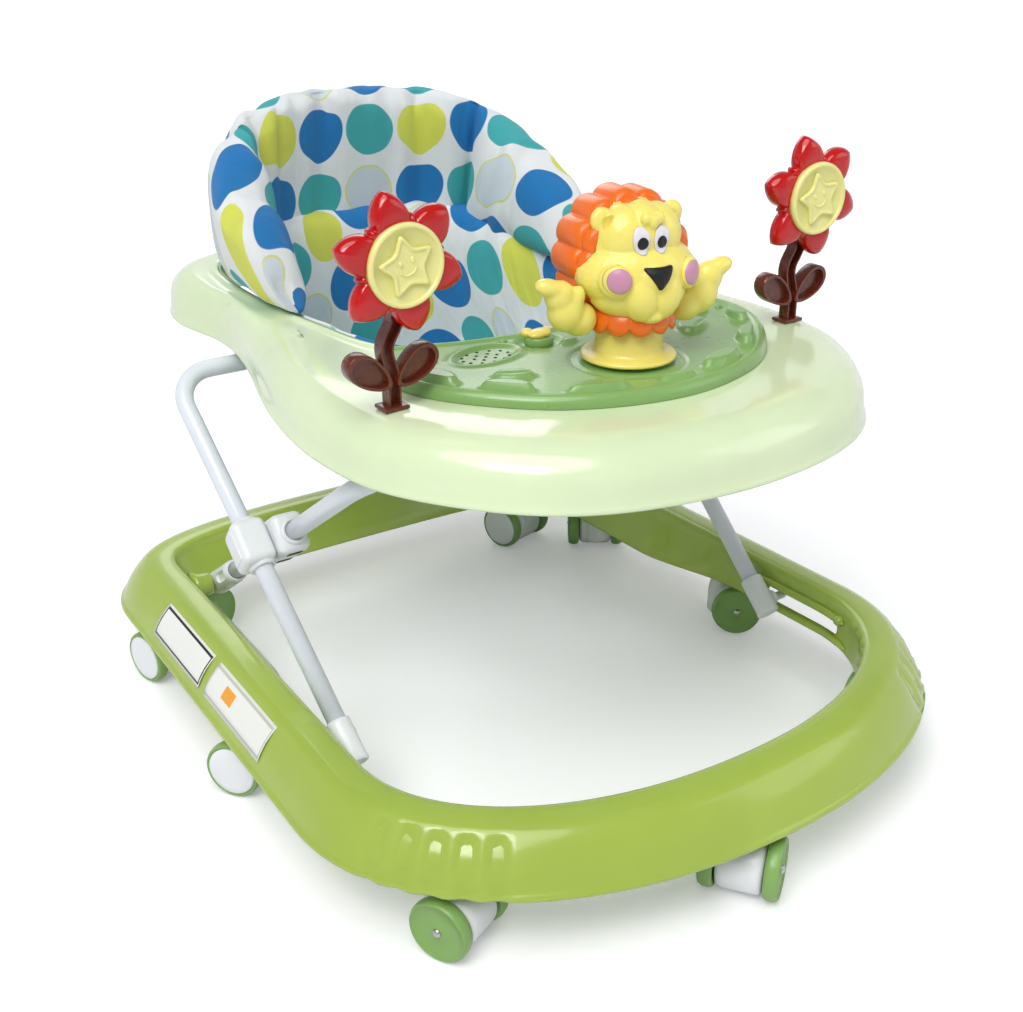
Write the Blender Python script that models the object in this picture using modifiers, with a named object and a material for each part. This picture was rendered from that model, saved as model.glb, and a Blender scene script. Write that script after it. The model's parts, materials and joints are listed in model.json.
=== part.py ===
"""Baby walker: a moulded base ring on casters, a folding tube frame, a play tray and a fabric seat.

Metres, +Z up, the play tray facing -Y. The origin is on the floor under the middle of the whole
walker. Each object is one physical piece; cutters and joined-on shapes are in their own collection.
"""
import math

import bmesh
import bpy
import numpy as np
from mathutils import Matrix, Vector

# ---- driving dimensions ----------------------------------------------------------------------
GAP = 0.0003                    # clearance between touching pieces

RING_HALF_WIDTH = 0.297         # base ring, front part
RING_REAR_HALF_WIDTH = 0.287
RING_FRONT_Y = -0.159           # where the straight sides meet the round front
RING_REAR_Y = 0.1935            # where they meet the rear corners
RING_FRONT_REACH = 0.206
RING_REAR_REACH = 0.147
RING_FRONT_POWER = 2.15         # superellipse exponents of the two ends
RING_REAR_POWER = 3.4
RIM_Z = 0.058
RING_TOP_Z = 0.102
RING_WALL = 0.0026
BAND_OUT = 0.031                # top band: inset of its outer and inner edges
BAND_IN = 0.055
INNER_WALL = 0.0575
INNER_FLARE = 0.023             # how much further in the inner wall's foot lies behind the slots

WHEEL_R = 0.025
WHEEL_WIDTH = 0.0115
FORK_HALF = 0.0185              # half the thickness of a caster's body
TRAIL = 0.016                   # swivel axis to wheel axle
AXLE_R = 0.0025
STEM_R = 0.005
SOCKET_R = 0.010
SOCKET_Z = 0.061
# caster name: swivel axis x, y and the heading of its trail in degrees from +X
CASTERS = {
    "front": (0.0, -0.3285, 216),
    "front_left": (-0.227, -0.250, 295),
    "front_right": (0.227, -0.250, 20),
    "side_left": (-0.255, -0.0105, 125),
    "side_right": (0.255, -0.0105, 320),
    "rear_left": (-0.250, 0.196, 104),
    "rear_right": (0.250, 0.196, 56),
    "back_left": (-0.185, 0.284, 205),
    "back_right": (0.185, 0.284, 286),
}

TUBE_R = 0.008
BASE_PIVOT = Vector((0.0, 0.198, 0.088))     # y and z of the inner frame's hinge on the base
HUB = Vector((0.0, 0.043, 0.1954))           # where the two frames cross
FOOT = Vector((0.0, -0.105, 0.072))          # lower end of an outer leg, in its slot
TRAY_PIVOT = Vector((0.0, 0.178, 0.308))     # upper end of an outer leg, under the tray
CROSSBAR = BASE_PIVOT + (HUB - BASE_PIVOT) * (TRAY_PIVOT.z - BASE_PIVOT.z) / (HUB.z - BASE_PIVOT.z)
INNER_X = 0.200
FOOT_X = 0.222
TOP_X = 0.236
INNER_HUB_X = 0.1875            # inner face of the inner hub block
HUB_FACE = 0.216                # plane where inner and outer hub blocks meet
OUTER_HUB_X = 0.2465            # outer face of the outer hub block
HUB_PIN_R = 0.0055
SLEEVE_R = 0.0115
PIN_R = 0.004
SLOT_HEIGHT = 0.0160
PIN_RISE = 0.0015
SLOT_TRAVEL = 0.073

LUG_IN = 0.1535                 # inner and outer faces of the tray's hinge lugs
LUG_OUT = 0.1625
LIP_Z = 0.320                   # lower edge of the tray
TRAY_TOP_Z = 0.3645
TRAY_WALL = 0.0026
PANEL_Z = 0.0110                # height of the toy panel above the tray
LION_AT = Vector((0.0, -0.1615, TRAY_TOP_Z + PANEL_Z + 2 * GAP))
LION_TURN = -8                  # degrees, the way the lion looks at rest, from -Y
FLOWER_X = 0.190
FLOWER_Y = -0.1365
FLOWER_HEAD_Z = 0.470
FLOWER_TURN = 13                # degrees, the tilt of both flower heads
PETALS_AHEAD = 0.0115           # the head turns on a stub ahead of the stem
BUTTON_AT = (-0.030, -0.087)
SEAT_CENTRE_Y = 0.150
BACK_CENTRE_Y = 0.155
BACK_WRAP = 106                 # degrees each side of the rear that the backrest reaches
BACK_FOOT_Z = 0.3685
BACK_RISE = 0.147

BODY = bpy.data.collections.new("baby_walker")
TOOLS = bpy.data.collections.new("cutters")


# ---- helpers ---------------------------------------------------------------------------------
def clear_scene():
    for obj in list(bpy.data.objects):
        bpy.data.objects.remove(obj, do_unlink=True)
    for group in (BODY, TOOLS):
        bpy.context.scene.collection.children.link(group)


def material(name, colour, roughness=0.35, metallic=0.0):
    """One Principled material per finish."""
    found = bpy.data.materials.get(name)
    if found:
        return found
    made = bpy.data.materials.new(name)
    made.use_nodes = True
    shader = made.node_tree.nodes["Principled BSDF"]
    shader.inputs["Base Color"].default_value = (*colour, 1.0)
    shader.inputs["Roughness"].default_value = roughness
    shader.inputs["Metallic"].default_value = metallic
    return made


def green():
    return material("lime_plastic", (0.36, 0.52, 0.08), 0.25)


def wheel_green():
    return material("wheel_plastic", (0.22, 0.42, 0.12), 0.4)


def white():
    return material("white_plastic", (0.85, 0.86, 0.87), 0.35)


def painted():
    return material("painted_tube", (0.80, 0.82, 0.86), 0.3)


def steel():
    return material("steel_pin", (0.60, 0.60, 0.60), 0.3, 1.0)


def mint():
    return material("mint_plastic", (0.80, 0.88, 0.62), 0.2)


def leaf_green():
    return material("panel_plastic", (0.25, 0.45, 0.14), 0.3)


def yellow():
    return material("yellow_plastic", (0.93, 0.86, 0.28), 0.3)


def orange():
    return material("orange_plastic", (0.90, 0.22, 0.02), 0.3)


def red():
    return material("red_plastic", (0.62, 0.01, 0.01), 0.15)


def brown():
    return material("brown_plastic", (0.16, 0.03, 0.01), 0.3)


def fabric():
    return material("dotted_fabric", (0.80, 0.86, 0.90), 0.9)


def place(obj, finish=None, tool=False):
    """Put an object in its collection, with its material."""
    for group in list(obj.users_collection):
        group.objects.unlink(obj)
    (TOOLS if tool else BODY).objects.link(obj)
    if tool:
        obj.hide_render = True
        obj.display_type = "WIRE"
    elif finish:
        obj.data.materials.clear()
        obj.data.materials.append(finish)
    return obj


def new_mesh(name, bm, finish=None, tool=False, smooth_angle=None):
    """Turn a bmesh into a placed object."""
    bmesh.ops.recalc_face_normals(bm, faces=bm.faces)
    mesh = bpy.data.meshes.new(name)
    bm.to_mesh(mesh)
    bm.free()
    obj = bpy.data.objects.new(name, mesh)
    bpy.context.scene.collection.objects.link(obj)
    if smooth_angle is not None:
        mesh.shade_smooth()
        mesh.set_sharp_from_angle(angle=math.radians(smooth_angle))
    return place(obj, finish, tool)


def bevel(obj, width, segments=1):
    mod = obj.modifiers.new("round_edges", "BEVEL")
    mod.width = width
    mod.segments = segments
    mod.limit_method = "ANGLE"
    mod.angle_limit = math.radians(35)
    return obj


def block(name, low, high, finish=None, round_to=0.0, tool=False):
    """A box between two corners."""
    low, high = Vector(low), Vector(high)
    size = high - low
    bm = bmesh.new()
    bmesh.ops.create_cube(bm, size=1.0)
    bmesh.ops.scale(bm, vec=size, verts=bm.verts)
    obj = new_mesh(name, bm, finish, tool)
    obj.location = (low + high) / 2
    if round_to:
        bevel(obj, round_to)
    return obj


def rod(name, start, end, radius, finish=None, tool=False, sides=12):
    """A straight round bar between two points."""
    start, end = Vector(start), Vector(end)
    bm = bmesh.new()
    bmesh.ops.create_cone(bm, cap_ends=True, segments=sides, radius1=radius, radius2=radius,
                          depth=(end - start).length)
    obj = new_mesh(name, bm, finish, tool, 40)
    obj.rotation_euler = (end - start).to_track_quat("Z", "Y").to_euler()
    obj.location = (start + end) / 2
    return obj


def turned(name, profile, at, finish=None, axis=(0, 0, 1), steps=16, closed=False, tool=False):
    """A shape turned about an axis, its profile (radius, height) run from top to bottom outside."""
    bm = bmesh.new()
    verts = [bm.verts.new((radius, 0.0, height)) for radius, height in profile]
    for first, second in zip(verts, verts[1:]):
        bm.edges.new((first, second))
    if closed:
        bm.edges.new((verts[-1], verts[0]))
    mesh = bpy.data.meshes.new(name)
    bm.to_mesh(mesh)
    bm.free()
    obj = bpy.data.objects.new(name, mesh)
    bpy.context.scene.collection.objects.link(obj)
    mod = obj.modifiers.new("turn", "SCREW")
    mod.steps = steps
    mod.render_steps = steps
    mod.use_merge_vertices = True
    mod.merge_threshold = 0.00005
    mod.use_smooth_shade = True
    obj.rotation_euler = Vector(axis).to_track_quat("Z", "Y").to_euler()
    obj.location = at
    return place(obj, finish, tool)


def ellipsoid(name, centre, radii, finish=None, tool=False, around=14, up=9):
    bm = bmesh.new()
    bmesh.ops.create_uvsphere(bm, u_segments=around, v_segments=up, radius=1.0)
    bmesh.ops.scale(bm, vec=Vector(radii), verts=bm.verts)
    obj = new_mesh(name, bm, finish, tool, 60)
    obj.location = centre
    return obj


def tube(name, points, radius, finish=None, resolution=2, tool=False):
    """A bent tube along a list of points."""
    curve = bpy.data.curves.new(name, "CURVE")
    curve.dimensions = "3D"
    curve.bevel_depth = radius
    curve.bevel_resolution = resolution
    curve.use_fill_caps = True
    spline = curve.splines.new("POLY")
    spline.points.add(len(points) - 1)
    for point, where in zip(spline.points, points):
        point.co = (*where, 1.0)
    obj = bpy.data.objects.new(name, curve)
    bpy.context.scene.collection.objects.link(obj)
    return place(obj, finish, tool)


def to_mesh(obj, finish=None, tool=False):
    """A curve's evaluated shape as a closed mesh object of the same name."""
    bpy.context.view_layer.update()
    source = obj.evaluated_get(bpy.context.evaluated_depsgraph_get())
    mesh = bpy.data.meshes.new_from_object(source)
    bm = bmesh.new()
    bm.from_mesh(mesh)
    bmesh.ops.remove_doubles(bm, verts=bm.verts, dist=0.00001)
    bmesh.ops.recalc_face_normals(bm, faces=bm.faces)
    bm.to_mesh(mesh)
    bm.free()
    name, where = obj.name, obj.matrix_world.copy()
    bpy.data.objects.remove(obj, do_unlink=True)
    made = bpy.data.objects.new(name, mesh)
    bpy.context.scene.collection.objects.link(made)
    made.matrix_world = where
    return place(made, finish, tool)


def outline_plate(name, points, low, high, finish=None, tool=False):
    """A flat outline in x and y, extruded between two heights."""
    curve = bpy.data.curves.new(name, "CURVE")
    curve.dimensions = "2D"
    curve.fill_mode = "BOTH"
    curve.extrude = (high - low) / 2
    spline = curve.splines.new("POLY")
    spline.points.add(len(points) - 1)
    for point, (x, y) in zip(spline.points, points):
        point.co = (x, y, 0.0, 1.0)
    spline.use_cyclic_u = True
    obj = bpy.data.objects.new(name, curve)
    bpy.context.scene.collection.objects.link(obj)
    obj.location = (0, 0, (low + high) / 2)
    return to_mesh(obj, finish, tool)


def boolean(obj, tool, operation):
    mod = obj.modifiers.new(operation.lower(), "BOOLEAN")
    mod.operation = operation
    mod.object = tool
    return obj


def cut(obj, *tools):
    for tool in tools:
        boolean(obj, tool, "DIFFERENCE")
    return obj


def join(obj, *tools):
    for tool in tools:
        boolean(obj, tool, "UNION")
    return obj


def turn_together(objects, centre, degrees):
    """Turn several objects about a vertical axis, by an empty that stands on it."""
    pivot = bpy.data.objects.new("turn_" + objects[0].name, None)
    TOOLS.objects.link(pivot)
    pivot.location = centre
    pivot.rotation_euler.z = math.radians(degrees)
    for obj in objects:
        obj.parent = pivot
        obj.matrix_parent_inverse = Matrix.Translation(-centre)


# ---- outlines --------------------------------------------------------------------------------
def evenly(points, count):
    """The open line through the points, resampled at equal steps."""
    points = np.array(points, float)
    length = np.r_[0.0, np.cumsum(np.hypot(*np.diff(points, axis=0).T))]
    where = np.linspace(0.0, length[-1], count)
    return np.column_stack([np.interp(where, length, points[:, axis]) for axis in (0, 1)])


def closed_from_half(half):
    """A closed loop from its right half, which runs from the front to the rear of the y axis."""
    return np.concatenate([half, (half * [-1, 1])[::-1][1:-1]])


def inset(loop, distance):
    """The closed loop moved inwards along its own normals."""
    ahead = np.roll(loop, -1, axis=0) - np.roll(loop, 1, axis=0)
    ahead /= np.hypot(*ahead.T)[:, None]
    inward = np.column_stack([-ahead[:, 1], ahead[:, 0]])
    return loop + inward * distance


def smooth_line(points, steps=12):
    """A Catmull-Rom line through the points, its ends continued as mirror images in x."""
    points = [np.array(point, float) for point in points]
    flip = np.array([-1.0, 1.0])
    padded = [points[1] * flip] + points + [points[-2] * flip]
    line = []
    for before, here, there, after in zip(padded, padded[1:], padded[2:], padded[3:]):
        for t in np.arange(steps) / steps:
            line.append(0.5 * (2 * here + (there - before) * t
                               + (2 * before - 5 * here + 4 * there - after) * t ** 2
                               + (3 * here - before - 3 * there + after) * t ** 3))
    line.append(points[-1])
    return np.array(line)


def ring_loop(count=44):
    """The base ring's outer rim, anticlockwise from the front middle: two superellipse ends."""
    angles = np.linspace(0.0, math.pi / 2, 60)
    front_x = RING_HALF_WIDTH * np.sin(angles) ** (2 / RING_FRONT_POWER)
    front_y = RING_FRONT_Y - RING_FRONT_REACH * np.cos(angles) ** (2 / RING_FRONT_POWER)
    rear_x = RING_REAR_HALF_WIDTH * np.sin(angles) ** (2 / RING_REAR_POWER)
    rear_y = RING_REAR_Y + RING_REAR_REACH * np.cos(angles) ** (2 / RING_REAR_POWER)
    half = np.column_stack([np.r_[front_x, rear_x[::-1]], np.r_[front_y, rear_y[::-1]]])
    return closed_from_half(evenly(half, count // 2 + 1))


def tray_half():
    """Right half of the tray's outline: a wide round front, a waist and two rear lobes."""
    return smooth_line([(0.0, -0.309), (0.131, -0.280), (0.212, -0.192), (0.232, -0.105),
                        (0.222, 0.000), (0.187, 0.130), (0.177, 0.205), (0.187, 0.285),
                        (0.165, 0.347), (0.092, 0.3705), (0.0, 0.3735)])


def opening_half():
    """Right half of the seat opening."""
    return smooth_line([(0.0, -0.056), (0.075, -0.046), (0.128, -0.010), (0.143, 0.060),
                        (0.152, 0.160), (0.150, 0.240), (0.133, 0.305), (0.080, 0.338),
                        (0.0, 0.345)])


def panel_half():
    """Right half of the toy panel: a crescent ahead of the seat opening."""
    return smooth_line([(0.0, -0.234), (0.085, -0.212), (0.143, -0.160), (0.168, -0.110),
                        (0.164, -0.062), (0.137, -0.036), (0.080, -0.054), (0.0, -0.064)])


def at_bearings(line, bearings, centre_y):
    """Points of a half outline at the given bearings seen from a point on the y axis."""
    angle = np.arctan2(line[:, 0], centre_y - line[:, 1])
    radius = np.hypot(line[:, 0], centre_y - line[:, 1])
    reach = np.interp(bearings, angle, radius)
    return np.column_stack([reach * np.sin(bearings), centre_y - reach * np.cos(bearings)])


def loft(name, sections, wall, finish):
    """Closed loops with heights, joined into an open skin and given a wall thickness inwards."""
    bm = bmesh.new()
    rows = [[bm.verts.new((x, y, height)) for x, y in loop] for loop, height in sections]
    for upper, lower in zip(rows, rows[1:]):
        for index in range(len(upper)):
            after = (index + 1) % len(upper)
            bm.faces.new((upper[index], upper[after], lower[after], lower[index]))
    mesh = bpy.data.meshes.new(name)
    bm.to_mesh(mesh)
    bm.free()
    mesh.shade_smooth()
    mesh.set_sharp_from_angle(angle=math.radians(35))
    obj = bpy.data.objects.new(name, mesh)
    bpy.context.scene.collection.objects.link(obj)
    mod = obj.modifiers.new("wall", "SOLIDIFY")
    mod.thickness = wall
    mod.offset = -1.0
    mod.use_even_offset = True
    return place(obj, finish)


# ---- base and casters ------------------------------------------------------------------------
def base_ring():
    """The moulded ring: flared outer wall, sloping top band, inner wall, sockets and bosses."""
    rim = ring_loop()
    behind_slots = np.clip((rim[:, 1:] + 0.04) / 0.10, 0.0, 1.0)
    foot = inset(rim, INNER_WALL + INNER_FLARE * behind_slots)
    sections = [(rim, RIM_Z), (inset(rim, 0.010), RIM_Z + 0.026), (inset(rim, BAND_OUT), RING_TOP_Z),
                (inset(rim, BAND_IN), RING_TOP_Z - 0.003), (foot, RIM_Z + 0.003)]
    ring = loft("base_ring", sections, RING_WALL, green())
    for name, (x, y, _) in CASTERS.items():
        profile = [(SOCKET_R, RING_TOP_Z - 0.0045), (SOCKET_R, SOCKET_Z),
                   (STEM_R + 2 * GAP, SOCKET_Z), (STEM_R + 2 * GAP, RING_TOP_Z - 0.0045)]
        join(ring, turned("socket_" + name, profile, (x, y, 0), steps=8, closed=True, tool=True))
    for side, word in ((-1, "left"), (1, "right")):
        inner = side * (RING_REAR_HALF_WIDTH - INNER_WALL)
        at = Vector((inner + side * 0.0015, BASE_PIVOT.y, BASE_PIVOT.z))
        face = Vector((side * (INNER_X + SLEEVE_R + 0.001), at.y, at.z))
        join(ring, rod("boss_" + word, face, at, 0.012, tool=True, sides=14))
        bore_end = face + Vector((side * 0.012, 0, 0))
        cut(ring, rod("boss_bore_" + word, face - Vector((side * 0.002, 0, 0)), bore_end,
                      PIN_R + GAP, tool=True))
        low = Vector((0.230, FOOT.y - SLOT_TRAVEL - 0.008, FOOT.z + 2 * PIN_RISE - SLOT_HEIGHT / 2))
        high = Vector((0.256, FOOT.y + 0.012, FOOT.z + 2 * PIN_RISE + SLOT_HEIGHT / 2))
        cutter = block("slot_" + word, low, high, tool=True)
        cutter.location.x *= side
        cut(ring, cutter)
    return ring


def caster(name, x, y, heading):
    """One twin caster: a hooded body that swivels on its stem, and two wheels on one axle."""
    trail = Vector((math.cos(math.radians(heading)), math.sin(math.radians(heading)), 0))
    axle = Vector((x, y, WHEEL_R)) + trail * TRAIL
    across = Vector((-trail.y, trail.x, 0))
    hood_r = WHEEL_R - 0.0025
    profile = [(0, FORK_HALF), (hood_r - 0.003, FORK_HALF), (hood_r, FORK_HALF - 0.003),
               (hood_r, -FORK_HALF + 0.003), (hood_r - 0.003, -FORK_HALF), (0, -FORK_HALF)]
    body = turned("caster_body_" + name, profile, axle, white(), across, 12)
    top = Vector((x, y, RING_TOP_Z - 0.008))
    collar = Vector((x, y, SOCKET_Z - 2 * GAP))
    join(body, rod("stem_" + name, Vector((x, y, 0.040)), top, STEM_R, tool=True, sides=8),
         rod("collar_" + name, Vector((x, y, 0.040)), collar, 0.0085, tool=True, sides=10))
    reach = across * (FORK_HALF + 0.002)
    cut(body, rod("axle_bore_" + name, axle - reach, axle + reach, AXLE_R + 2 * GAP, tool=True,
                  sides=8))
    inner = FORK_HALF + 2 * GAP
    outer = inner + WHEEL_WIDTH
    half = [(0, outer), (WHEEL_R - 0.003, outer), (WHEEL_R, outer - 0.003), (WHEEL_R, inner),
            (AXLE_R, inner)]
    profile = half + [(radius, -height) for radius, height in reversed(half)]
    turned("caster_wheels_" + name, profile, axle, wheel_green(), across, 12)


# ---- folding frame ---------------------------------------------------------------------------
def rounded_path(corners, radii, steps=7):
    """Straight runs between corners, each inner corner replaced by an arc of its own radius."""
    path = [Vector(corners[0])]
    for before, here, after, radius in zip(corners, corners[1:], corners[2:], radii):
        back = (Vector(before) - Vector(here)).normalized()
        ahead = (Vector(after) - Vector(here)).normalized()
        half_angle = back.angle(ahead) / 2
        reach = radius / math.tan(half_angle)
        centre = Vector(here) + (back + ahead).normalized() * radius / math.sin(half_angle)
        first = Vector(here) + back * reach - centre
        turn = first.rotation_difference(Vector(here) + ahead * reach - centre)
        for step in range(steps + 1):
            path.append(centre + Matrix.Rotation(turn.angle * step / steps, 3, turn.axis) @ first)
    path.append(Vector(corners[-1]))
    return path


def inner_frame():
    """The inner U of tube, its lower sleeves, hinge pins and inner hub blocks."""
    along = (HUB - BASE_PIVOT).normalized()
    low_end = BASE_PIVOT + along * 0.014
    corners = [Vector((-INNER_X, *low_end.yz)), Vector((-INNER_X, *CROSSBAR.yz)),
               Vector((INNER_X, *CROSSBAR.yz)), Vector((INNER_X, *low_end.yz))]
    tube("inner_frame_tube", rounded_path(corners, (0.050, 0.050)), TUBE_R, painted())
    for side, word in ((-1, "left"), (1, "right")):
        shift = Vector((side * INNER_X, 0, 0))
        start = BASE_PIVOT + shift - along * 0.012
        profile = [(TUBE_R + GAP, 0.060), (SLEEVE_R - 0.0015, 0.060), (SLEEVE_R, 0.0585),
                   (SLEEVE_R, 0.004), (SLEEVE_R - 0.004, 0.0), (0, 0), (0, 0.0255),
                   (TUBE_R + GAP, 0.0255)]
        sleeve = turned("frame_sleeve_" + word, profile, start, white(), along, 12, closed=True)
        reach = Vector((0.016, 0, 0))
        cut(sleeve, rod("sleeve_bore_" + word, BASE_PIVOT + shift - reach,
                        BASE_PIVOT + shift + reach, PIN_R + GAP, tool=True))
        pin_in = BASE_PIVOT + Vector((side * (INNER_X - SLEEVE_R), 0, 0))
        pin_out = BASE_PIVOT + Vector((side * (INNER_X + SLEEVE_R + 0.012), 0, 0))
        rod("base_pivot_pin_" + word, pin_in, pin_out, PIN_R, steel(), sides=10)
        hub_block("inner_hub_" + word, side, along, INNER_X, INNER_HUB_X, HUB_FACE)
        start, end = hub_pin_ends(side, 0.0012)
        rod("hub_pin_" + word, start, end, HUB_PIN_R, steel())


def leg_x(point):
    """Distance of an outer leg's centre line from the middle at a point's height."""
    share = (point.z - FOOT.z) / (TRAY_PIVOT.z - FOOT.z)
    return FOOT_X + (TOP_X - FOOT_X) * share


def hub_block(name, side, along, tube_x, low_x, high_x):
    """A hub block round one tube, with a bore for the tube and one for the hub pin."""
    made = block(name, (low_x, -0.026, -0.018), (high_x, 0.026, 0.018), white(), 0.004)
    made.location = HUB + Vector((side * (low_x + high_x) / 2, 0, 0))
    made.rotation_euler.x = math.atan2(along.z, along.y)
    centre = HUB + Vector((side * tube_x, 0, 0))
    tube_bore = rod(name + "_tube_bore", centre - along * 0.04, centre + along * 0.04,
                    TUBE_R + GAP, tool=True)
    start, end = hub_pin_ends(side, 0.0)
    return cut(made, tube_bore, rod(name + "_pin_bore", start, end, HUB_PIN_R + GAP, tool=True))


def hub_pin_ends(side, clearance):
    """The hub pin's two ends, from the inner tube to the outer tube."""
    inner = INNER_X + TUBE_R + clearance
    outer = leg_x(HUB) - TUBE_R - clearance
    return [HUB + Vector((side * x, 0, 0)) for x in (inner, outer)]


def outer_leg(side, word):
    """One outer leg, its hub block and its foot, which slides in the base ring's slot."""
    foot = FOOT + Vector((side * FOOT_X, 0, 0))
    top = TRAY_PIVOT + Vector((side * TOP_X, 0, 0))
    along = (top - foot).normalized()
    stub = TRAY_PIVOT + Vector((side * (LUG_IN + 0.001), 0, 0))
    path = rounded_path([foot + along * 0.002, top, stub], (0.034,))
    tube("outer_leg_" + word, path, TUBE_R, painted())
    profile = [(TUBE_R + GAP, 0.026), (0.0105, 0.026), (0.0105, -0.009), (0.008, -0.012),
               (0, -0.012), (0, 0.001), (TUBE_R + GAP, 0.001)]
    slider = turned("foot_slider_" + word, profile, foot, white(), along, 12, closed=True)
    join(slider, rod("slider_pin_" + word, foot + Vector((side * 0.0092, 0, PIN_RISE)),
                     foot + Vector((side * 0.027, 0, PIN_RISE)), PIN_R, tool=True))
    hub_block("outer_hub_" + word, side, along, leg_x(HUB), HUB_FACE + GAP, OUTER_HUB_X)


# ---- tray ------------------------------------------------------------------------------------
def tray():
    """The play tray: rolled outer wall, top, seat opening, and a moulded hinge lug each side."""
    half = evenly(tray_half(), 25)
    bearings = np.arctan2(half[:, 0], SEAT_CENTRE_Y - half[:, 1])
    opening = at_bearings(opening_half(), bearings, SEAT_CENTRE_Y)
    outer, hole = closed_from_half(half), closed_from_half(opening)
    sections = [(outer, LIP_Z), (inset(outer, 0.0040), LIP_Z + 0.024),
                (inset(outer, 0.0085), LIP_Z + 0.037),
                (inset(outer, 0.016), TRAY_TOP_Z), (inset(hole, -0.006), TRAY_TOP_Z),
                (hole, TRAY_TOP_Z - 0.002), (inset(hole, -0.0005), LIP_Z + 0.014)]
    shell = loft("tray_shell", sections, TRAY_WALL, mint())
    for side, word in ((-1, "left"), (1, "right")):
        lug = block("tray_lug_" + word, (LUG_IN, TRAY_PIVOT.y - 0.013, TRAY_PIVOT.z - 0.012),
                    (LUG_OUT, TRAY_PIVOT.y + 0.013, TRAY_TOP_Z - 0.0015), tool=True)
        lug.location.x *= side
        join(shell, lug)
        centre = TRAY_PIVOT + Vector((side * (LUG_IN + LUG_OUT) / 2, 0, 0))
        reach = Vector((0.012, 0, 0))
        cut(shell, rod("tray_lug_bore_" + word, centre - reach, centre + reach, TUBE_R + GAP,
                       tool=True, sides=12))
    return shell


def under_tray():
    """Height rails and latch for the frame's front bar, and the sound box with its cover."""
    top = TRAY_TOP_Z - TRAY_WALL - GAP
    for side, word in ((-1, "left"), (1, "right")):
        rail = block("height_rail_" + word, (0.088, -0.225, CROSSBAR.z + TUBE_R + 0.004),
                     (0.096, -0.095, top), mint())
        rail.location.x *= side
        for step in range(3):
            at = Vector((rail.location.x, CROSSBAR.y - step * 0.030, CROSSBAR.z + TUBE_R))
            reach = Vector((0.012, 0, 0))
            cut(rail, rod(f"notch_{word}_{step}", at - reach, at + reach, TUBE_R, tool=True))
    block("sound_box", (-0.050, -0.200, 0.340), (0.050, -0.110, top), leaf_green(), 0.002)
    block("battery_cover", (-0.036, -0.190, 0.3365), (0.036, -0.120, 0.340 - GAP), white(), 0.001)
    latch = block("height_latch", (-0.020, -0.278, 0.3225), (0.020, -0.118, 0.3285), white(), 0.001)
    grip = block("latch_grip", (-0.024, -0.282, 0.316), (0.024, -0.270, 0.3300), tool=True)
    join(latch, grip)


def toy_panel():
    """The raised crescent of the toy panel, with a hole for the button."""
    half = evenly(panel_half(), 19)
    loop = closed_from_half(half)
    low = TRAY_TOP_Z + GAP
    panel = outline_plate("toy_panel", [tuple(p) for p in loop], low, low + PANEL_Z, leaf_green())
    bevel(panel, 0.003, 1)
    x, y = BUTTON_AT
    cut(panel, rod("button_hole", (x, y, low + 0.004), (x, y, low + 0.03), 0.0125, tool=True))
    profile = [(0, 0.008), (0.008, 0.008), (0.011, 0.006), (0.012, 0.0), (0, 0.0)]
    turned("bird_button", profile, (x, y, low + 0.008), yellow(), steps=14)


def lion():
    """The turning lion: base with neck, scalloped collar, head, mane and two paws."""
    base = [(0, 0.012), (0.027, 0.012), (0.026, 0.0045), (0.037, 0.004), (0.037, 0.0), (0, 0.0)]
    collar = [(0, 0.030), (0.026, 0.030), (0.034, 0.018), (0.035, 0.0123), (0, 0.0123)]
    pieces = [turned("lion_base", base, LION_AT, yellow(), steps=20),
              turned("lion_collar", collar, LION_AT, orange(), steps=20)]
    centre = LION_AT + Vector((0, -0.006, 0.072))
    radii = Vector((0.044, 0.038, 0.046))
    back = LION_AT.y + 0.012
    under = LION_AT.z + 0.030 + GAP
    head = ellipsoid("lion_head", centre, radii, yellow(), around=16, up=10)
    mane = ellipsoid("lion_mane", LION_AT + Vector((0, 0.012, 0.074)), (0.056, 0.030, 0.054),
                     orange(), around=16, up=10)
    tools = [block("head_back", (-0.08, back, 0.30), (0.08, back + 0.1, 0.60), tool=True),
             block("mane_front", (-0.08, back - 0.1, 0.30), (0.08, back + GAP, 0.60), tool=True),
             block("head_under", (-0.08, -0.35, 0.30), (0.08, 0.05, under), tool=True)]
    cut(head, tools[0], tools[2])
    cut(mane, tools[1], tools[2])
    pieces += [head, mane]
    for side, word in ((-1, "left"), (1, "right")):
        at = LION_AT + Vector((side * 0.062, -0.004, 0.050))
        paw = ellipsoid("lion_paw_" + word, at, (0.021, 0.011, 0.022), yellow(), around=10, up=7)
        seat_radii = radii + Vector((GAP, GAP, GAP))
        tools.append(ellipsoid("paw_seat_" + word, centre, seat_radii, tool=True, around=16, up=10))
        cut(paw, tools[-1], tools[0])
        pieces.append(paw)
    turn_together(pieces + tools, LION_AT, LION_TURN)


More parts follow.
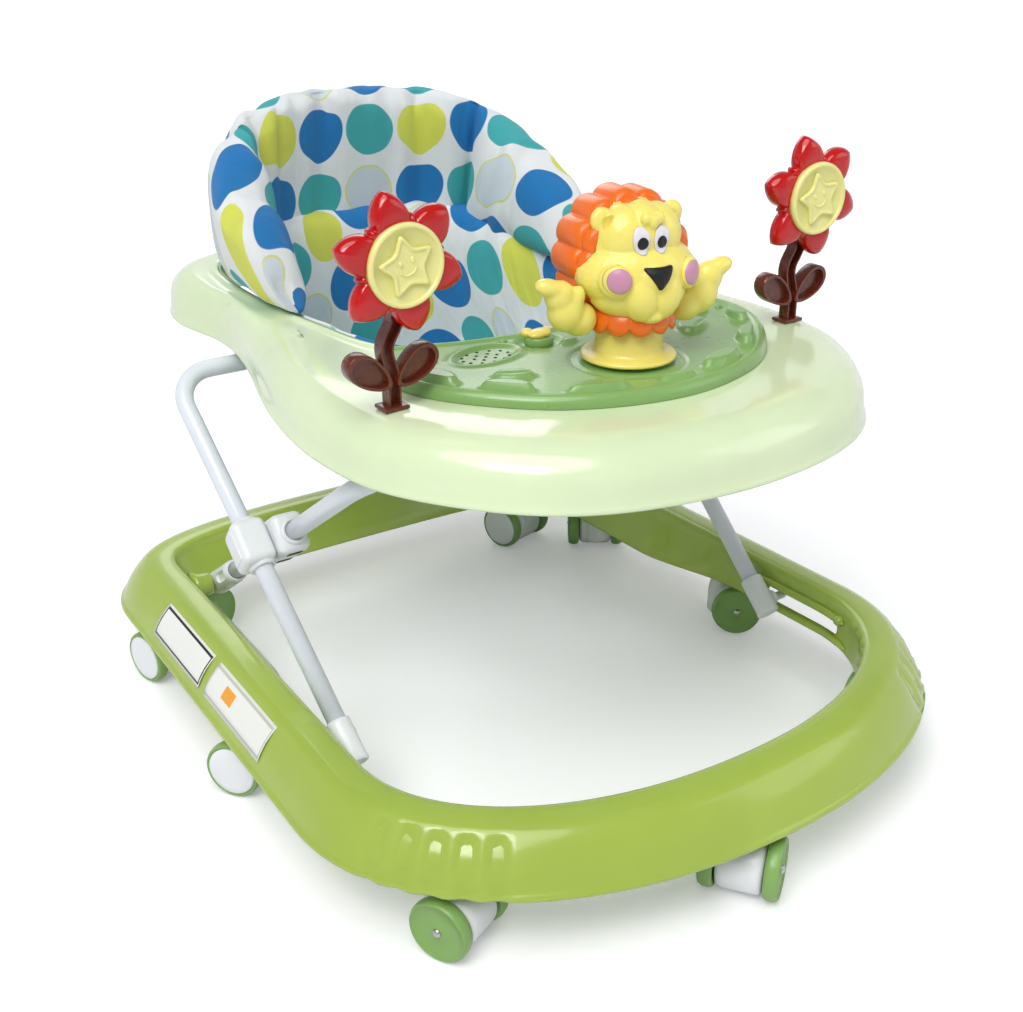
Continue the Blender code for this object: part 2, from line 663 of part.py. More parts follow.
def flower(side, word):
    """A flower toy: a brown stem with two leaves, and a six-petalled head that spins on it."""
    ground = Vector((side * FLOWER_X, FLOWER_Y, TRAY_TOP_Z + GAP - 0.001))
    axle = Vector((ground.x + 0.004, FLOWER_Y, FLOWER_HEAD_Z))
    path = [ground + Vector((sway, 0, rise)) for sway, rise in
            ((0, 0.001), (0, 0.020), (-0.004, 0.038), (0.002, 0.056), (0.004, 0.064))]
    path.append(axle)
    stem = to_mesh(tube("flower_stem_" + word, path, 0.0050, resolution=1), brown())
    join(stem, turned("ferrule_" + word, [(0, 0.008), (0.0085, 0.008), (0.0095, 0.001), (0, 0.001)],
                      ground, steps=12, tool=True))
    for lean in (-1, 1):
        leaf = ellipsoid(f"leaf_{word}_{lean}", ground + Vector((lean * 0.019, 0, 0.027)),
                         (0.017, 0.0065, 0.010), tool=True, around=10, up=5)
        leaf.rotation_euler = (0, math.radians(-28 * lean), 0)
        join(stem, leaf)
    join(stem, rod("stub_" + word, axle + Vector((0, 0.001, 0)), axle - Vector((0, 0.0145, 0)),
                   0.003, tool=True, sides=10))
    head = axle - Vector((0, PETALS_AHEAD, 0))
    points = []
    for step in range(42):
        angle = 2 * math.pi * step / 42
        reach = 0.0385 + 0.0115 * math.cos(6 * angle)
        points.append((reach * math.sin(angle), reach * math.cos(angle)))
    petals = outline_plate("flower_petals_" + word, points, -0.005, 0.005, red())
    petals.location = head
    petals.rotation_euler = (math.radians(90), math.radians(-FLOWER_TURN), 0)
    cut(petals, rod("stub_bore_" + word, axle, head - Vector((0, 0.0035, 0)), 0.003 + GAP,
                    tool=True, sides=10))
    disc = [(0, 0.005), (0.0275, 0.005), (0.029, 0.003), (0.029, 0.0), (0, 0.0)]
    turned("flower_face_" + word, disc, head - Vector((0, 0.005 + GAP, 0)), yellow(), (0, -1, 0), 20)


# ---- seat ------------------------------------------------------------------------------------
def seat():
    """The fabric seat: a bowl with two leg holes in the opening, and a padded back above it."""
    half = evenly(opening_half(), 14)
    loop = closed_from_half(half)
    middle = np.array([0.0, SEAT_CENTRE_Y])
    rows = [(inset(loop, 0.008), TRAY_TOP_Z - 0.004), (inset(loop, 0.009), 0.325),
            (middle + (inset(loop, 0.010) - middle) * 0.94, 0.270),
            (middle + (inset(loop, 0.010) - middle) * 0.75, 0.222),
            (middle + (inset(loop, 0.010) - middle) * 0.40, 0.196)]
    sling = loft("seat_sling", rows, 0.004, fabric())
    floor = middle + (inset(loop, 0.010) - middle) * 0.42
    pad = outline_plate("seat_floor", [tuple(p) for p in floor], 0.193, 0.199, tool=True)
    join(sling, pad)
    for side, word in ((-1, "left"), (1, "right")):
        start = Vector((side * 0.045, SEAT_CENTRE_Y - 0.02, 0.262))
        end = Vector((side * 0.105, SEAT_CENTRE_Y - 0.30, 0.235))
        cut(sling, rod("leg_hole_" + word, start, end, 0.046, tool=True))


def seat_back():
    """The padded backrest: a slab bent round the rear of the opening, highest in the middle."""
    bm = bmesh.new()
    columns, rows = 15, 5
    grid = []
    for column in range(columns):
        share = -1 + 2 * column / (columns - 1)
        bearing = math.radians(BACK_WRAP) * share
        top = BACK_FOOT_Z + BACK_RISE * math.cos(share * math.pi / 2 * 0.999) ** 0.45
        line = []
        for row in range(rows):
            up = row / (rows - 1)
            half_width = 0.139 + 0.022 * up
            reach = 0.158 - 0.020 * up
            x = half_width * math.copysign(abs(math.sin(bearing)) ** 0.8, bearing)
            y = BACK_CENTRE_Y + reach * math.copysign(abs(math.cos(bearing)) ** 0.8,
                                                      math.cos(bearing))
            line.append(bm.verts.new((x, y, BACK_FOOT_Z + (top - BACK_FOOT_Z + 0.004) * up)))
        grid.append(line)
    for left, right in zip(grid, grid[1:]):
        for row in range(rows - 1):
            bm.faces.new((left[row], right[row], right[row + 1], left[row + 1]))
    back = new_mesh("seat_back", bm, fabric(), smooth_angle=60)
    mod = back.modifiers.new("padding", "SOLIDIFY")
    mod.thickness = 0.022
    mod.offset = 0.0
    mod.use_even_offset = True


def build():
    clear_scene()
    base_ring()
    for name, (x, y, heading) in CASTERS.items():
        caster(name, x, y, heading)
    inner_frame()
    tray()
    under_tray()
    toy_panel()
    lion()
    for side, word in ((-1, "left"), (1, "right")):
        outer_leg(side, word)
        flower(side, word)
    seat()
    seat_back()


build()
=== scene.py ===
"""Looks of the baby walker: shells, toys, painted tube, casters and the padded dotted seat.

Metres, +Z up, the play tray facing -Y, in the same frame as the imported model.
"""
import json
import math

import bmesh
import bpy
import numpy as np
from mathutils import Matrix, Vector
from mathutils.bvhtree import BVHTree


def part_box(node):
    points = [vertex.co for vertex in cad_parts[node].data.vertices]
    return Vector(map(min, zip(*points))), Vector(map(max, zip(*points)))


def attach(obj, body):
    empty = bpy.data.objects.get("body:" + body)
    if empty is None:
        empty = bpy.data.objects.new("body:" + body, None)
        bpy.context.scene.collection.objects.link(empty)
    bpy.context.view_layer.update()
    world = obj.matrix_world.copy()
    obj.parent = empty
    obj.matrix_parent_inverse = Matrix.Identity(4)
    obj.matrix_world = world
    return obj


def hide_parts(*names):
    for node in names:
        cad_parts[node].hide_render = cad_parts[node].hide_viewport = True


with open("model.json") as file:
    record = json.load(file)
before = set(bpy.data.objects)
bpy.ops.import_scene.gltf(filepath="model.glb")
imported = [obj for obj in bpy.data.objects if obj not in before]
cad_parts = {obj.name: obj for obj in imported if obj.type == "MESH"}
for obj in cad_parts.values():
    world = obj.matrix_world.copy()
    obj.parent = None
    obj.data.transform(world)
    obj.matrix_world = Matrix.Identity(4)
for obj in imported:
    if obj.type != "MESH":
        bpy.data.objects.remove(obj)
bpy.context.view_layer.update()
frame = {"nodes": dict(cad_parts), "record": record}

SIDES = ((-1, "left"), (1, "right"))

# ---- places, read from the frame where a node gives them ---------------------------------------
JOINTS = {joint["name"]: joint for joint in frame["record"]["behaviour"]["joints"]}
RING_HALF_WIDTH, RING_REAR_HALF_WIDTH = 0.297, 0.287
RING_FRONT_Y, RING_REAR_Y = -0.159, 0.1935
RING_FRONT_REACH, RING_REAR_REACH = 0.206, 0.147
RING_FRONT_POWER, RING_REAR_POWER = 2.15, 3.4
CASTERS = {
    "front": 216, "front_left": 295, "front_right": 20, "side_left": 125, "side_right": 320,
    "rear_left": 104, "rear_right": 56, "back_left": 205, "back_right": 286,
}                                # heading of each caster's trail, in degrees from +X
WHEEL_R, WHEEL_WIDTH, FORK_HALF, TRAIL = 0.025, 0.0115, 0.0185, 0.016
TUBE_R = 0.008
BASE_PIVOT = Vector(JOINTS["fold"]["pos_m"])
HUB = Vector(JOINTS["leg_left"]["pos_m"])
TRAY_PIVOT = Vector(JOINTS["tray_level"]["pos_m"])
FOOT = Vector((0.0, -0.105, 0.072))
CROSSBAR = BASE_PIVOT + (HUB - BASE_PIVOT) * (TRAY_PIVOT.z - BASE_PIVOT.z) / (HUB.z - BASE_PIVOT.z)
INNER_X, FOOT_X, TOP_X = 0.200, 0.222, 0.236
TRAY_TOP_Z = 0.3645
PANEL_TOP_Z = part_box("toy_panel")[1][2]
LION_AXIS = Vector((*JOINTS["lion_turn"]["pos_m"][:2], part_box("lion_base")[0][2]))
LION_TURN = -8
BUTTON_AT = (-0.030, -0.087)
FLOWER_X, FLOWER_Y, FLOWER_TURN = 0.190, -0.1365, 13
SEAT_CENTRE_Y = 0.150
BACK_CENTRE_Y = 0.155
BACK_FOOT_Z = 0.3685
BACK_RISE = 0.157
BACK_SPAN = math.radians(106)     # how far round the seat each wing reaches, from the rear
LEG_HOLE_R = 0.046
RIB_R = 0.0036                    # ribs above and below each slot
RING_WALL, RING_FLARE = 0.0570, 0.023     # inset of the ring's inner wall, and its spread behind
POND = (-0.085, -0.095)           # middle of the speaker's pond on the toy panel
HUB_BOSS = 0.014                  # distance of each hub boss from the hub's middle
MANE_LOCKS, MANE_Z = 13, 0.0740
STAR_TIP, STAR_DIP = 0.0236, 0.0126
CAMERA_PLACE = (-0.6311, -0.9438, 0.7041)
CAMERA_AZIMUTH, CAMERA_ELEVATION = math.radians(-33.87), math.radians(24.37)
LENS_MM, SENSOR_MM = 48.8, 36.0


# ---- materials ---------------------------------------------------------------------------------
def node(tree, kind, **values):
    """A shader node with its input sockets set by name."""
    made = tree.nodes.new(kind)
    for name, value in values.items():
        made.inputs[name.replace("_", " ")].default_value = value
    return made


def math_node(tree, operation, first, second=None, third=None):
    """A Math node on values or sockets, returning its output socket."""
    made = tree.nodes.new("ShaderNodeMath")
    made.operation = operation
    for socket, value in zip(made.inputs, (first, second, third)):
        if value is None:
            continue
        if isinstance(value, (int, float)):
            socket.default_value = value
        else:
            tree.links.new(value, socket)
    return made.outputs[0]


def plastic(name, colour, roughness=0.2, shade=0.10, coat=0.3, grain=0.02, subsurface=0.0):
    """Moulded plastic: cloudy colour, uneven gloss and the faint ripple of an injected surface."""
    made = bpy.data.materials.get(name)
    if made:
        return made
    made = bpy.data.materials.new(name)
    made.use_nodes = True
    tree = made.node_tree
    shader = tree.nodes["Principled BSDF"]
    place = tree.nodes.new("ShaderNodeTexCoord").outputs["Object"]
    cloud = node(tree, "ShaderNodeTexNoise", Scale=9.0, Detail=3.0, Roughness=0.6)
    tree.links.new(place, cloud.inputs["Vector"])
    ramp = tree.nodes.new("ShaderNodeValToRGB")
    ramp.color_ramp.elements[0].position = 0.35
    ramp.color_ramp.elements[1].position = 0.70
    ramp.color_ramp.elements[0].color = (*[c * (1 - shade) for c in colour], 1)
    ramp.color_ramp.elements[1].color = (*[min(1.0, c * (1 + shade * 0.6)) for c in colour], 1)
    tree.links.new(cloud.outputs["Fac"], ramp.inputs["Fac"])
    tree.links.new(ramp.outputs["Color"], shader.inputs["Base Color"])
    wear = node(tree, "ShaderNodeTexNoise", Scale=60.0, Detail=4.0, Roughness=0.7)
    tree.links.new(place, wear.inputs["Vector"])
    gloss = node(tree, "ShaderNodeMapRange", To_Min=roughness * 0.75, To_Max=roughness * 1.35)
    tree.links.new(wear.outputs["Fac"], gloss.inputs["Value"])
    tree.links.new(gloss.outputs["Result"], shader.inputs["Roughness"])
    ripple = node(tree, "ShaderNodeTexNoise", Scale=34.0, Detail=2.0, Roughness=0.5)
    tree.links.new(place, ripple.inputs["Vector"])
    bump = node(tree, "ShaderNodeBump", Strength=grain, Distance=0.01)
    tree.links.new(ripple.outputs["Fac"], bump.inputs["Height"])
    tree.links.new(bump.outputs["Normal"], shader.inputs["Normal"])
    shader.inputs["Coat Weight"].default_value = coat
    shader.inputs["Coat Roughness"].default_value = 0.06
    shader.inputs["Subsurface Weight"].default_value = subsurface
    shader.inputs["Subsurface Radius"].default_value = (0.010, 0.010, 0.006)
    shader.inputs["Subsurface Scale"].default_value = 0.4
    return made


# name: material name, colour, roughness, cloudiness, coat, ripple and, for soft vinyl, subsurface
PLASTICS = {
    "lime": ("lime_shell", (0.36, 0.48, 0.070), 0.22, 0.05, 0.35, 0.02),
    "mint": ("mint_shell", (0.72, 0.84, 0.54), 0.16, 0.035, 0.4, 0.015),
    "panel_green": ("panel_shell", (0.24, 0.43, 0.13), 0.28, 0.06, 0.3, 0.03),
    "wheel_green": ("wheel_shell", (0.215, 0.39, 0.10), 0.36, 0.08, 0.15, 0.05),
    "white_plastic": ("white_shell", (0.80, 0.82, 0.84), 0.33, 0.04, 0.2, 0.03),
    "paint": ("white_paint", (0.74, 0.78, 0.84), 0.30, 0.03, 0.3, 0.05),
    "yellow": ("yellow_vinyl", (0.93, 0.80, 0.18), 0.30, 0.04, 0.25, 0.02, 0.10),
    "pale_yellow": ("pale_yellow_disc", (0.88, 0.84, 0.32), 0.30, 0.04, 0.2, 0.02),
    "orange": ("orange_vinyl", (0.90, 0.165, 0.005), 0.30, 0.06, 0.15, 0.02, 0.06),
    "red": ("red_gloss", (0.56, 0.002, 0.003), 0.12, 0.08, 0.3, 0.015),
    "brown": ("brown_shell", (0.135, 0.022, 0.008), 0.26, 0.12, 0.3, 0.04),
    "black": ("black_print", (0.003, 0.003, 0.003), 0.50, 0.2, 0.0, 0.02),
    "pink": ("pink_print", (0.62, 0.28, 0.42), 0.35, 0.05, 0.2, 0.02),
    "eye_white": ("eye_white", (0.80, 0.76, 0.82), 0.28, 0.04, 0.3, 0.01),
    # Painted shade: a near-black green for the hub windows and speaker holes, standing in for the shade
    # inside them.
    "painted_shade": ("hollow_painted_shade", (0.03, 0.05, 0.02), 0.6, 0.2, 0.0, 0.05),
}


def steel():
    """Turned steel with fine rings of wear."""
    made = bpy.data.materials.get("turned_steel") or plastic(
        "turned_steel", (0.55, 0.56, 0.57), 0.28, 0.12, 0.0, 0.06)
    made.node_tree.nodes["Principled BSDF"].inputs["Metallic"].default_value = 1.0
    return made


DOT_PITCH_U, DOT_PITCH_V, DOT_R = 0.0560, 0.0625, 0.0262
DOT_COLOURS = [(0.001, 0.185, 0.50), (0.045, 0.42, 0.44), (0.72, 0.76, 0.10)]


def dotted_fabric(name="spotted_cover"):
    """White woven cover printed with staggered rows of coloured dots and thin yellow rings."""
    made = bpy.data.materials.get(name)
    if made:
        return made
    made = bpy.data.materials.new(name)
    made.use_nodes = True
    tree = made.node_tree
    links = tree.links
    shader = tree.nodes["Principled BSDF"]
    uv = tree.nodes.new("ShaderNodeUVMap")
    uv.uv_map = "cloth"
    split = tree.nodes.new("ShaderNodeSeparateXYZ")
    links.new(uv.outputs["UV"], split.inputs["Vector"])
    v = math_node(tree, "DIVIDE", split.outputs["Y"], DOT_PITCH_V)
    row = math_node(tree, "FLOOR", v)
    u = math_node(tree, "DIVIDE", split.outputs["X"], DOT_PITCH_U)
    column = math_node(tree, "FLOOR", u)
    du = math_node(tree, "MULTIPLY", math_node(tree, "SUBTRACT", math_node(tree, "FRACT", u), 0.5),
                   DOT_PITCH_U)
    dv = math_node(tree, "MULTIPLY", math_node(tree, "SUBTRACT", math_node(tree, "FRACT", v), 0.5),
                   DOT_PITCH_V)
    square = math_node(tree, "ADD", math_node(tree, "MULTIPLY", du, du),
                       math_node(tree, "MULTIPLY", dv, dv))
    radius = math_node(tree, "SQRT", square)
    # Blue, teal and yellow follow each other along a row; every other row starts one further on
    # and has a thin yellow ring where the yellow dot would be.
    order = math_node(tree, "SUBTRACT", column, math_node(tree, "ADD", row, 1.0))
    count = len(DOT_COLOURS)
    pick = math_node(tree, "DIVIDE", math_node(tree, "FLOORED_MODULO", order, float(count)),
                     float(count))
    ramp = tree.nodes.new("ShaderNodeValToRGB")
    ramp.color_ramp.interpolation = "CONSTANT"
    while len(ramp.color_ramp.elements) < len(DOT_COLOURS):
        ramp.color_ramp.elements.new(0.5)
    for index, colour in enumerate(DOT_COLOURS):
        ramp.color_ramp.elements[index].position = max(0.0, (index - 0.4) / count)
        ramp.color_ramp.elements[index].color = (*colour, 1)
    links.new(pick, ramp.inputs["Fac"])
    even = math_node(tree, "LESS_THAN", math_node(tree, "FLOORED_MODULO", row, 2.0), 0.5)
    is_ring = math_node(tree, "MULTIPLY", even,
                        math_node(tree, "GREATER_THAN", pick, (count - 1.4) / count))
    inside = node(tree, "ShaderNodeMapRange", From_Min=DOT_R - 0.0004, From_Max=DOT_R + 0.0004,
                  To_Min=1.0, To_Max=0.0)
    links.new(radius, inside.inputs["Value"])
    away = math_node(tree, "ABSOLUTE", math_node(tree, "SUBTRACT", radius, DOT_R - 0.0012))
    line = node(tree, "ShaderNodeMapRange", From_Min=0.0006, From_Max=0.0012, To_Min=1.0, To_Max=0.0)
    links.new(away, line.inputs["Value"])
    solid = math_node(tree, "MULTIPLY", inside.outputs["Result"],
                      math_node(tree, "SUBTRACT", 1.0, is_ring))
    ring = math_node(tree, "MULTIPLY", line.outputs["Result"], is_ring)
    ground = tree.nodes.new("ShaderNodeMix")
    ground.data_type = "RGBA"
    ground.inputs["A"].default_value = (0.84, 0.87, 0.88, 1)
    ground.inputs["B"].default_value = (0.66, 0.74, 0.80, 1)
    links.new(math_node(tree, "MULTIPLY", inside.outputs["Result"], is_ring), ground.inputs["Factor"])
    dots = tree.nodes.new("ShaderNodeMix")
    dots.data_type = "RGBA"
    links.new(solid, dots.inputs["Factor"])
    links.new(ground.outputs["Result"], dots.inputs["A"])
    links.new(ramp.outputs["Color"], dots.inputs["B"])
    rings = tree.nodes.new("ShaderNodeMix")
    rings.data_type = "RGBA"
    rings.inputs["B"].default_value = (0.72, 0.76, 0.25, 1)
    links.new(ring, rings.inputs["Factor"])
    links.new(dots.outputs["Result"], rings.inputs["A"])
    links.new(rings.outputs["Result"], shader.inputs["Base Color"])
    shader.inputs["Roughness"].default_value = 0.72
    shader.inputs["Sheen Weight"].default_value = 0.10
    shader.inputs["Sheen Roughness"].default_value = 0.5
    warp = node(tree, "ShaderNodeTexWave", Scale=520.0, Distortion=1.0)
    weft = node(tree, "ShaderNodeTexWave", Scale=520.0, Distortion=1.0)
    weft.bands_direction = "Y"
    links.new(uv.outputs["UV"], warp.inputs["Vector"])
    links.new(uv.outputs["UV"], weft.inputs["Vector"])
    weave = math_node(tree, "ADD", warp.outputs["Fac"], weft.outputs["Fac"])
    crumple = node(tree, "ShaderNodeTexNoise", Scale=34.0, Detail=4.0, Roughness=0.55)
    links.new(tree.nodes.new("ShaderNodeTexCoord").outputs["Object"], crumple.inputs["Vector"])
    stretch = tree.nodes.new("ShaderNodeMapping")
    stretch.inputs["Scale"].default_value = (58.0, 9.0, 1.0)
    links.new(uv.outputs["UV"], stretch.inputs["Vector"])
    pleats = node(tree, "ShaderNodeTexNoise", Scale=1.0, Detail=2.0, Roughness=0.45)
    links.new(stretch.outputs["Vector"], pleats.inputs["Vector"])
    folds = math_node(tree, "ADD", math_node(tree, "MULTIPLY", pleats.outputs["Fac"], 1.9),
                      math_node(tree, "MULTIPLY", crumple.outputs["Fac"], 0.8))
    height = math_node(tree, "ADD", math_node(tree, "MULTIPLY", weave, 0.05), folds)
    bump = node(tree, "ShaderNodeBump", Strength=0.55, Distance=0.005)
    links.new(height, bump.inputs["Height"])
    links.new(bump.outputs["Normal"], shader.inputs["Normal"])
    return made


# ---- mesh helpers ------------------------------------------------------------------------------
def set_material(obj, material):
    if isinstance(material, str):
        material = plastic(*PLASTICS[material])
    obj.data.materials.clear()
    obj.data.materials.append(material)


def finish(obj, material, body, slot, *replaced, smooth=True, subdivide=0):
    """Material, smooth shading, the body it rides on and the nodes it replaces.

    The material is either one already made or the name of a plastic in PLASTICS. The slot is not used.
    """
    set_material(obj, material)
    if smooth:
        obj.data.shade_smooth()
    if subdivide:
        mod = obj.modifiers.new("smooth", "SUBSURF")
        mod.levels = subdivide
        mod.render_levels = subdivide
    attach(obj, body)
    if replaced:
        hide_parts(*replaced)
    return obj


def link(name, mesh):
    obj = bpy.data.objects.new(name, mesh)
    bpy.context.scene.collection.objects.link(obj)
    return obj


def from_bmesh(name, bm):
    bmesh.ops.recalc_face_normals(bm, faces=bm.faces)
    mesh = bpy.data.meshes.new(name)
    bm.to_mesh(mesh)
    bm.free()
    return link(name, mesh)


def grid(name, points, close_rows=False, close_columns=False, cap_rows=False):
    """A quad mesh from points[row][column], optionally closed either way or capped at both rows."""
    bm = bmesh.new()
    rows = [[bm.verts.new(point) for point in line] for line in points]
    pairs = list(zip(rows, rows[1:])) + ([(rows[-1], rows[0])] if close_rows else [])
    for first, second in pairs:
        count = len(first)
        for index in range(count if close_columns else count - 1):
            after = (index + 1) % count
            bm.faces.new((first[index], first[after], second[after], second[index]))
    if cap_rows:
        for row in (rows[0], rows[-1]):
            bm.faces.new(row)
    return from_bmesh(name, bm)


def lathe(name, profile, at=(0, 0, 0), axis=(0, 0, 1), steps=48):
    """A turned shape; the profile is (radius, height) and may start and end on the axis."""
    turn = Vector(axis).normalized().to_track_quat("Z", "Y").to_matrix()
    bm = bmesh.new()
    rings = []
    for radius, height in profile:
        if radius <= 1e-6:
            rings.append([bm.verts.new(turn @ Vector((0, 0, height)) + Vector(at))])
            continue
        rings.append([bm.verts.new(turn @ Vector((radius * math.cos(2 * math.pi * k / steps),
                                                  radius * math.sin(2 * math.pi * k / steps), height))
                                   + Vector(at)) for k in range(steps)])
    for first, second in zip(rings, rings[1:]):
        for k in range(steps):
            after = (k + 1) % steps
            if len(first) == 1 and len(second) == 1:
                continue
            if len(first) == 1:
                bm.faces.new((first[0], second[k], second[after]))
            elif len(second) == 1:
                bm.faces.new((first[k], first[after], second[0]))
            else:
                bm.faces.new((first[k], first[after], second[after], second[k]))
    return from_bmesh(name, bm)


def sweep(name, path, outline, up=(0, 1, 0), scales=None):
    """A closed outline (side, up) carried along a path, capped at both ends."""
    path = [Vector(point) for point in path]
    rows = []
    for index, point in enumerate(path):
        ahead = path[min(index + 1, len(path) - 1)] - path[max(index - 1, 0)]
        ahead.normalize()
        side = ahead.cross(Vector(up)).normalized()
        lift = side.cross(ahead)
        size = scales[index] if scales else 1.0
        rows.append([point + (side * a + lift * b) * size for a, b in outline])
    return grid(name, rows, close_columns=True, cap_rows=True)


def circle(radius, count=24):
    return [(radius * math.cos(2 * math.pi * k / count), radius * math.sin(2 * math.pi * k / count))
            for k in range(count)]


def round_box(name, size, radius, at=(0, 0, 0), turn=None, segments=4):
    """A box with rounded edges, its bevel made real."""
    bm = bmesh.new()
    bmesh.ops.create_cube(bm, size=1.0)
    bmesh.ops.scale(bm, vec=Vector(size), verts=bm.verts)
    bmesh.ops.bevel(bm, geom=list(bm.edges), offset=radius, segments=segments, profile=0.5,
                    affect="EDGES")
    place = Matrix.Translation(Vector(at)) @ (turn.to_4x4() if turn else Matrix())
    bmesh.ops.transform(bm, matrix=place, verts=bm.verts)
    return from_bmesh(name, bm)


def joined(name, pieces):
    """Several objects' evaluated meshes as one object."""
    bm = bmesh.new()
    bpy.context.view_layer.update()
    graph = bpy.context.evaluated_depsgraph_get()
    for piece in pieces:
        source = piece.evaluated_get(graph)
        mesh = bpy.data.meshes.new_from_object(source)
        mesh.transform(piece.matrix_world)
        bm.from_mesh(mesh)
        bpy.data.meshes.remove(mesh)
    for piece in pieces:
        bpy.data.objects.remove(piece, do_unlink=True)
    return from_bmesh(name, bm)


def apply_modifiers(obj):
    """Make an object's modifiers real."""
    bpy.context.view_layer.update()
    graph = bpy.context.evaluated_depsgraph_get()
    mesh = bpy.data.meshes.new_from_object(obj.evaluated_get(graph))
    old = obj.data
    obj.modifiers.clear()
    obj.data = mesh
    bpy.data.meshes.remove(old)
    return obj


def carve(obj, *cutters):
    """Cut closed shapes out of an object."""
    for cutter in cutters:
        mod = obj.modifiers.new("cut", "BOOLEAN")
        mod.operation = "DIFFERENCE"
        mod.object = cutter
    apply_modifiers(obj)
    for cutter in cutters:
        bpy.data.objects.remove(cutter, do_unlink=True)
    return obj


def lump(centre, radii, turn=(0, 0, 0), around=32, up=20):
    """An ellipsoid to be melted into a larger form."""
    bm = bmesh.new()
    bmesh.ops.create_uvsphere(bm, u_segments=around, v_segments=up, radius=1.0)
    place = (Matrix.Translation(Vector(centre))
             @ Matrix.Rotation(math.radians(turn[2]), 4, "Z")
             @ Matrix.Rotation(math.radians(turn[1]), 4, "Y")
             @ Matrix.Rotation(math.radians(turn[0]), 4, "X")
             @ Matrix.Diagonal((*radii, 1)))
    bmesh.ops.transform(bm, matrix=place, verts=bm.verts)
    return from_bmesh("lump", bm)


def melted(name, lumps, voxel=0.0012, rounds=6):
    """Overlapping lumps melted into one skin with soft creases."""
    obj = joined(name, lumps)
    mod = obj.modifiers.new("melt", "REMESH")
    mod.mode = "VOXEL"
    mod.voxel_size = voxel
    soften = obj.modifiers.new("soften", "SMOOTH")
    soften.factor = 0.5
    soften.iterations = rounds
    return apply_modifiers(obj)


def move(obj, matrix):
    """Transform an object's mesh."""
    obj.data.transform(matrix)
    obj.data.update()
    return obj


# ---- outlines ----------------------------------------------------------------------------------
def evenly(points, count):
    """The open line through the points, resampled at equal steps."""
    points = np.array(points, float)
    length = np.r_[0.0, np.cumsum(np.hypot(*np.diff(points, axis=0).T))]
    where = np.linspace(0.0, length[-1], count)
    return np.column_stack([np.interp(where, length, points[:, axis]) for axis in (0, 1)])


def closed_from_half(half):
    """A closed loop from its right half, which runs from the front to the rear of the y axis."""
    return np.concatenate([half, (half * [-1, 1])[::-1][1:-1]])


def normals(loop):
    """Inward unit normals of an anticlockwise closed loop."""
    ahead = np.roll(loop, -1, axis=0) - np.roll(loop, 1, axis=0)
    ahead /= np.hypot(*ahead.T)[:, None]
    return np.column_stack([-ahead[:, 1], ahead[:, 0]])


def inset(loop, distance):
    """The closed loop moved inwards; distance may differ from point to point."""
    return loop + normals(loop) * np.asarray(distance, float).reshape(-1, 1)


def smooth_line(points, steps=24):
    """A Catmull-Rom line through the points, its ends continued as mirror images in x."""
    points = [np.array(point, float) for point in points]
    flip = np.array([-1.0, 1.0])
    padded = [points[1] * flip] + points + [points[-2] * flip]
    line = []
    for before, here, there, after in zip(padded, padded[1:], padded[2:], padded[3:]):
        for t in np.arange(steps) / steps:
            line.append(0.5 * (2 * here + (there - before) * t
                               + (2 * before - 5 * here + 4 * there - after) * t ** 2
                               + (3 * here - before - 3 * there + after) * t ** 3))
    line.append(points[-1])
    return np.array(line)


def soft_loop(loop, rounds=6):
    """The loop with its kinks averaged out."""
    for _ in range(rounds):
        loop = 0.25 * np.roll(loop, 1, axis=0) + 0.5 * loop + 0.25 * np.roll(loop, -1, axis=0)
    return loop


def ring_loop(count=384):
    """The base ring's outer rim, anticlockwise from the front middle: two superellipse ends."""
    angles = np.linspace(0.0, math.pi / 2, 400)
    front_x = RING_HALF_WIDTH * np.sin(angles) ** (2 / RING_FRONT_POWER)
    front_y = RING_FRONT_Y - RING_FRONT_REACH * np.cos(angles) ** (2 / RING_FRONT_POWER)
    rear_x = RING_REAR_HALF_WIDTH * np.sin(angles) ** (2 / RING_REAR_POWER)
    rear_y = RING_REAR_Y + RING_REAR_REACH * np.cos(angles) ** (2 / RING_REAR_POWER)
    half = np.column_stack([np.r_[front_x, rear_x[::-1]], np.r_[front_y, rear_y[::-1]]])
    return closed_from_half(evenly(half, count // 2 + 1))


def tray_half():
    """Right half of the tray's outline: a wide round front, a waist and two rear lobes."""
    return smooth_line([(0.0, -0.309), (0.131, -0.280), (0.212, -0.192), (0.232, -0.105),
                        (0.222, 0.000), (0.187, 0.130), (0.177, 0.205), (0.187, 0.285),
                        (0.165, 0.347), (0.092, 0.3705), (0.0, 0.3735)])


def opening_half():
    """Right half of the seat opening."""
    return smooth_line([(0.0, -0.056), (0.075, -0.046), (0.128, -0.010), (0.143, 0.060),
                        (0.152, 0.160), (0.150, 0.240), (0.133, 0.305), (0.080, 0.338),
                        (0.0, 0.345)])


def panel_half():
    """Right half of the toy panel: a crescent ahead of the seat opening."""
    return smooth_line([(0.0, -0.234), (0.085, -0.212), (0.143, -0.160), (0.168, -0.110),
                        (0.164, -0.062), (0.137, -0.036), (0.080, -0.054), (0.0, -0.064)])


def at_bearings(line, bearings, centre_y):
    """Points of a half outline at the given bearings seen from a point on the y axis."""
    angle = np.arctan2(line[:, 0], centre_y - line[:, 1])
    radius = np.hypot(line[:, 0], centre_y - line[:, 1])
    reach = np.interp(bearings, angle, radius)
    return np.column_stack([reach * np.sin(bearings), centre_y - reach * np.cos(bearings)])


def smoothstep(low, high, value):
    t = np.clip((value - low) / (high - low), 0.0, 1.0)
    return t * t * (3 - 2 * t)


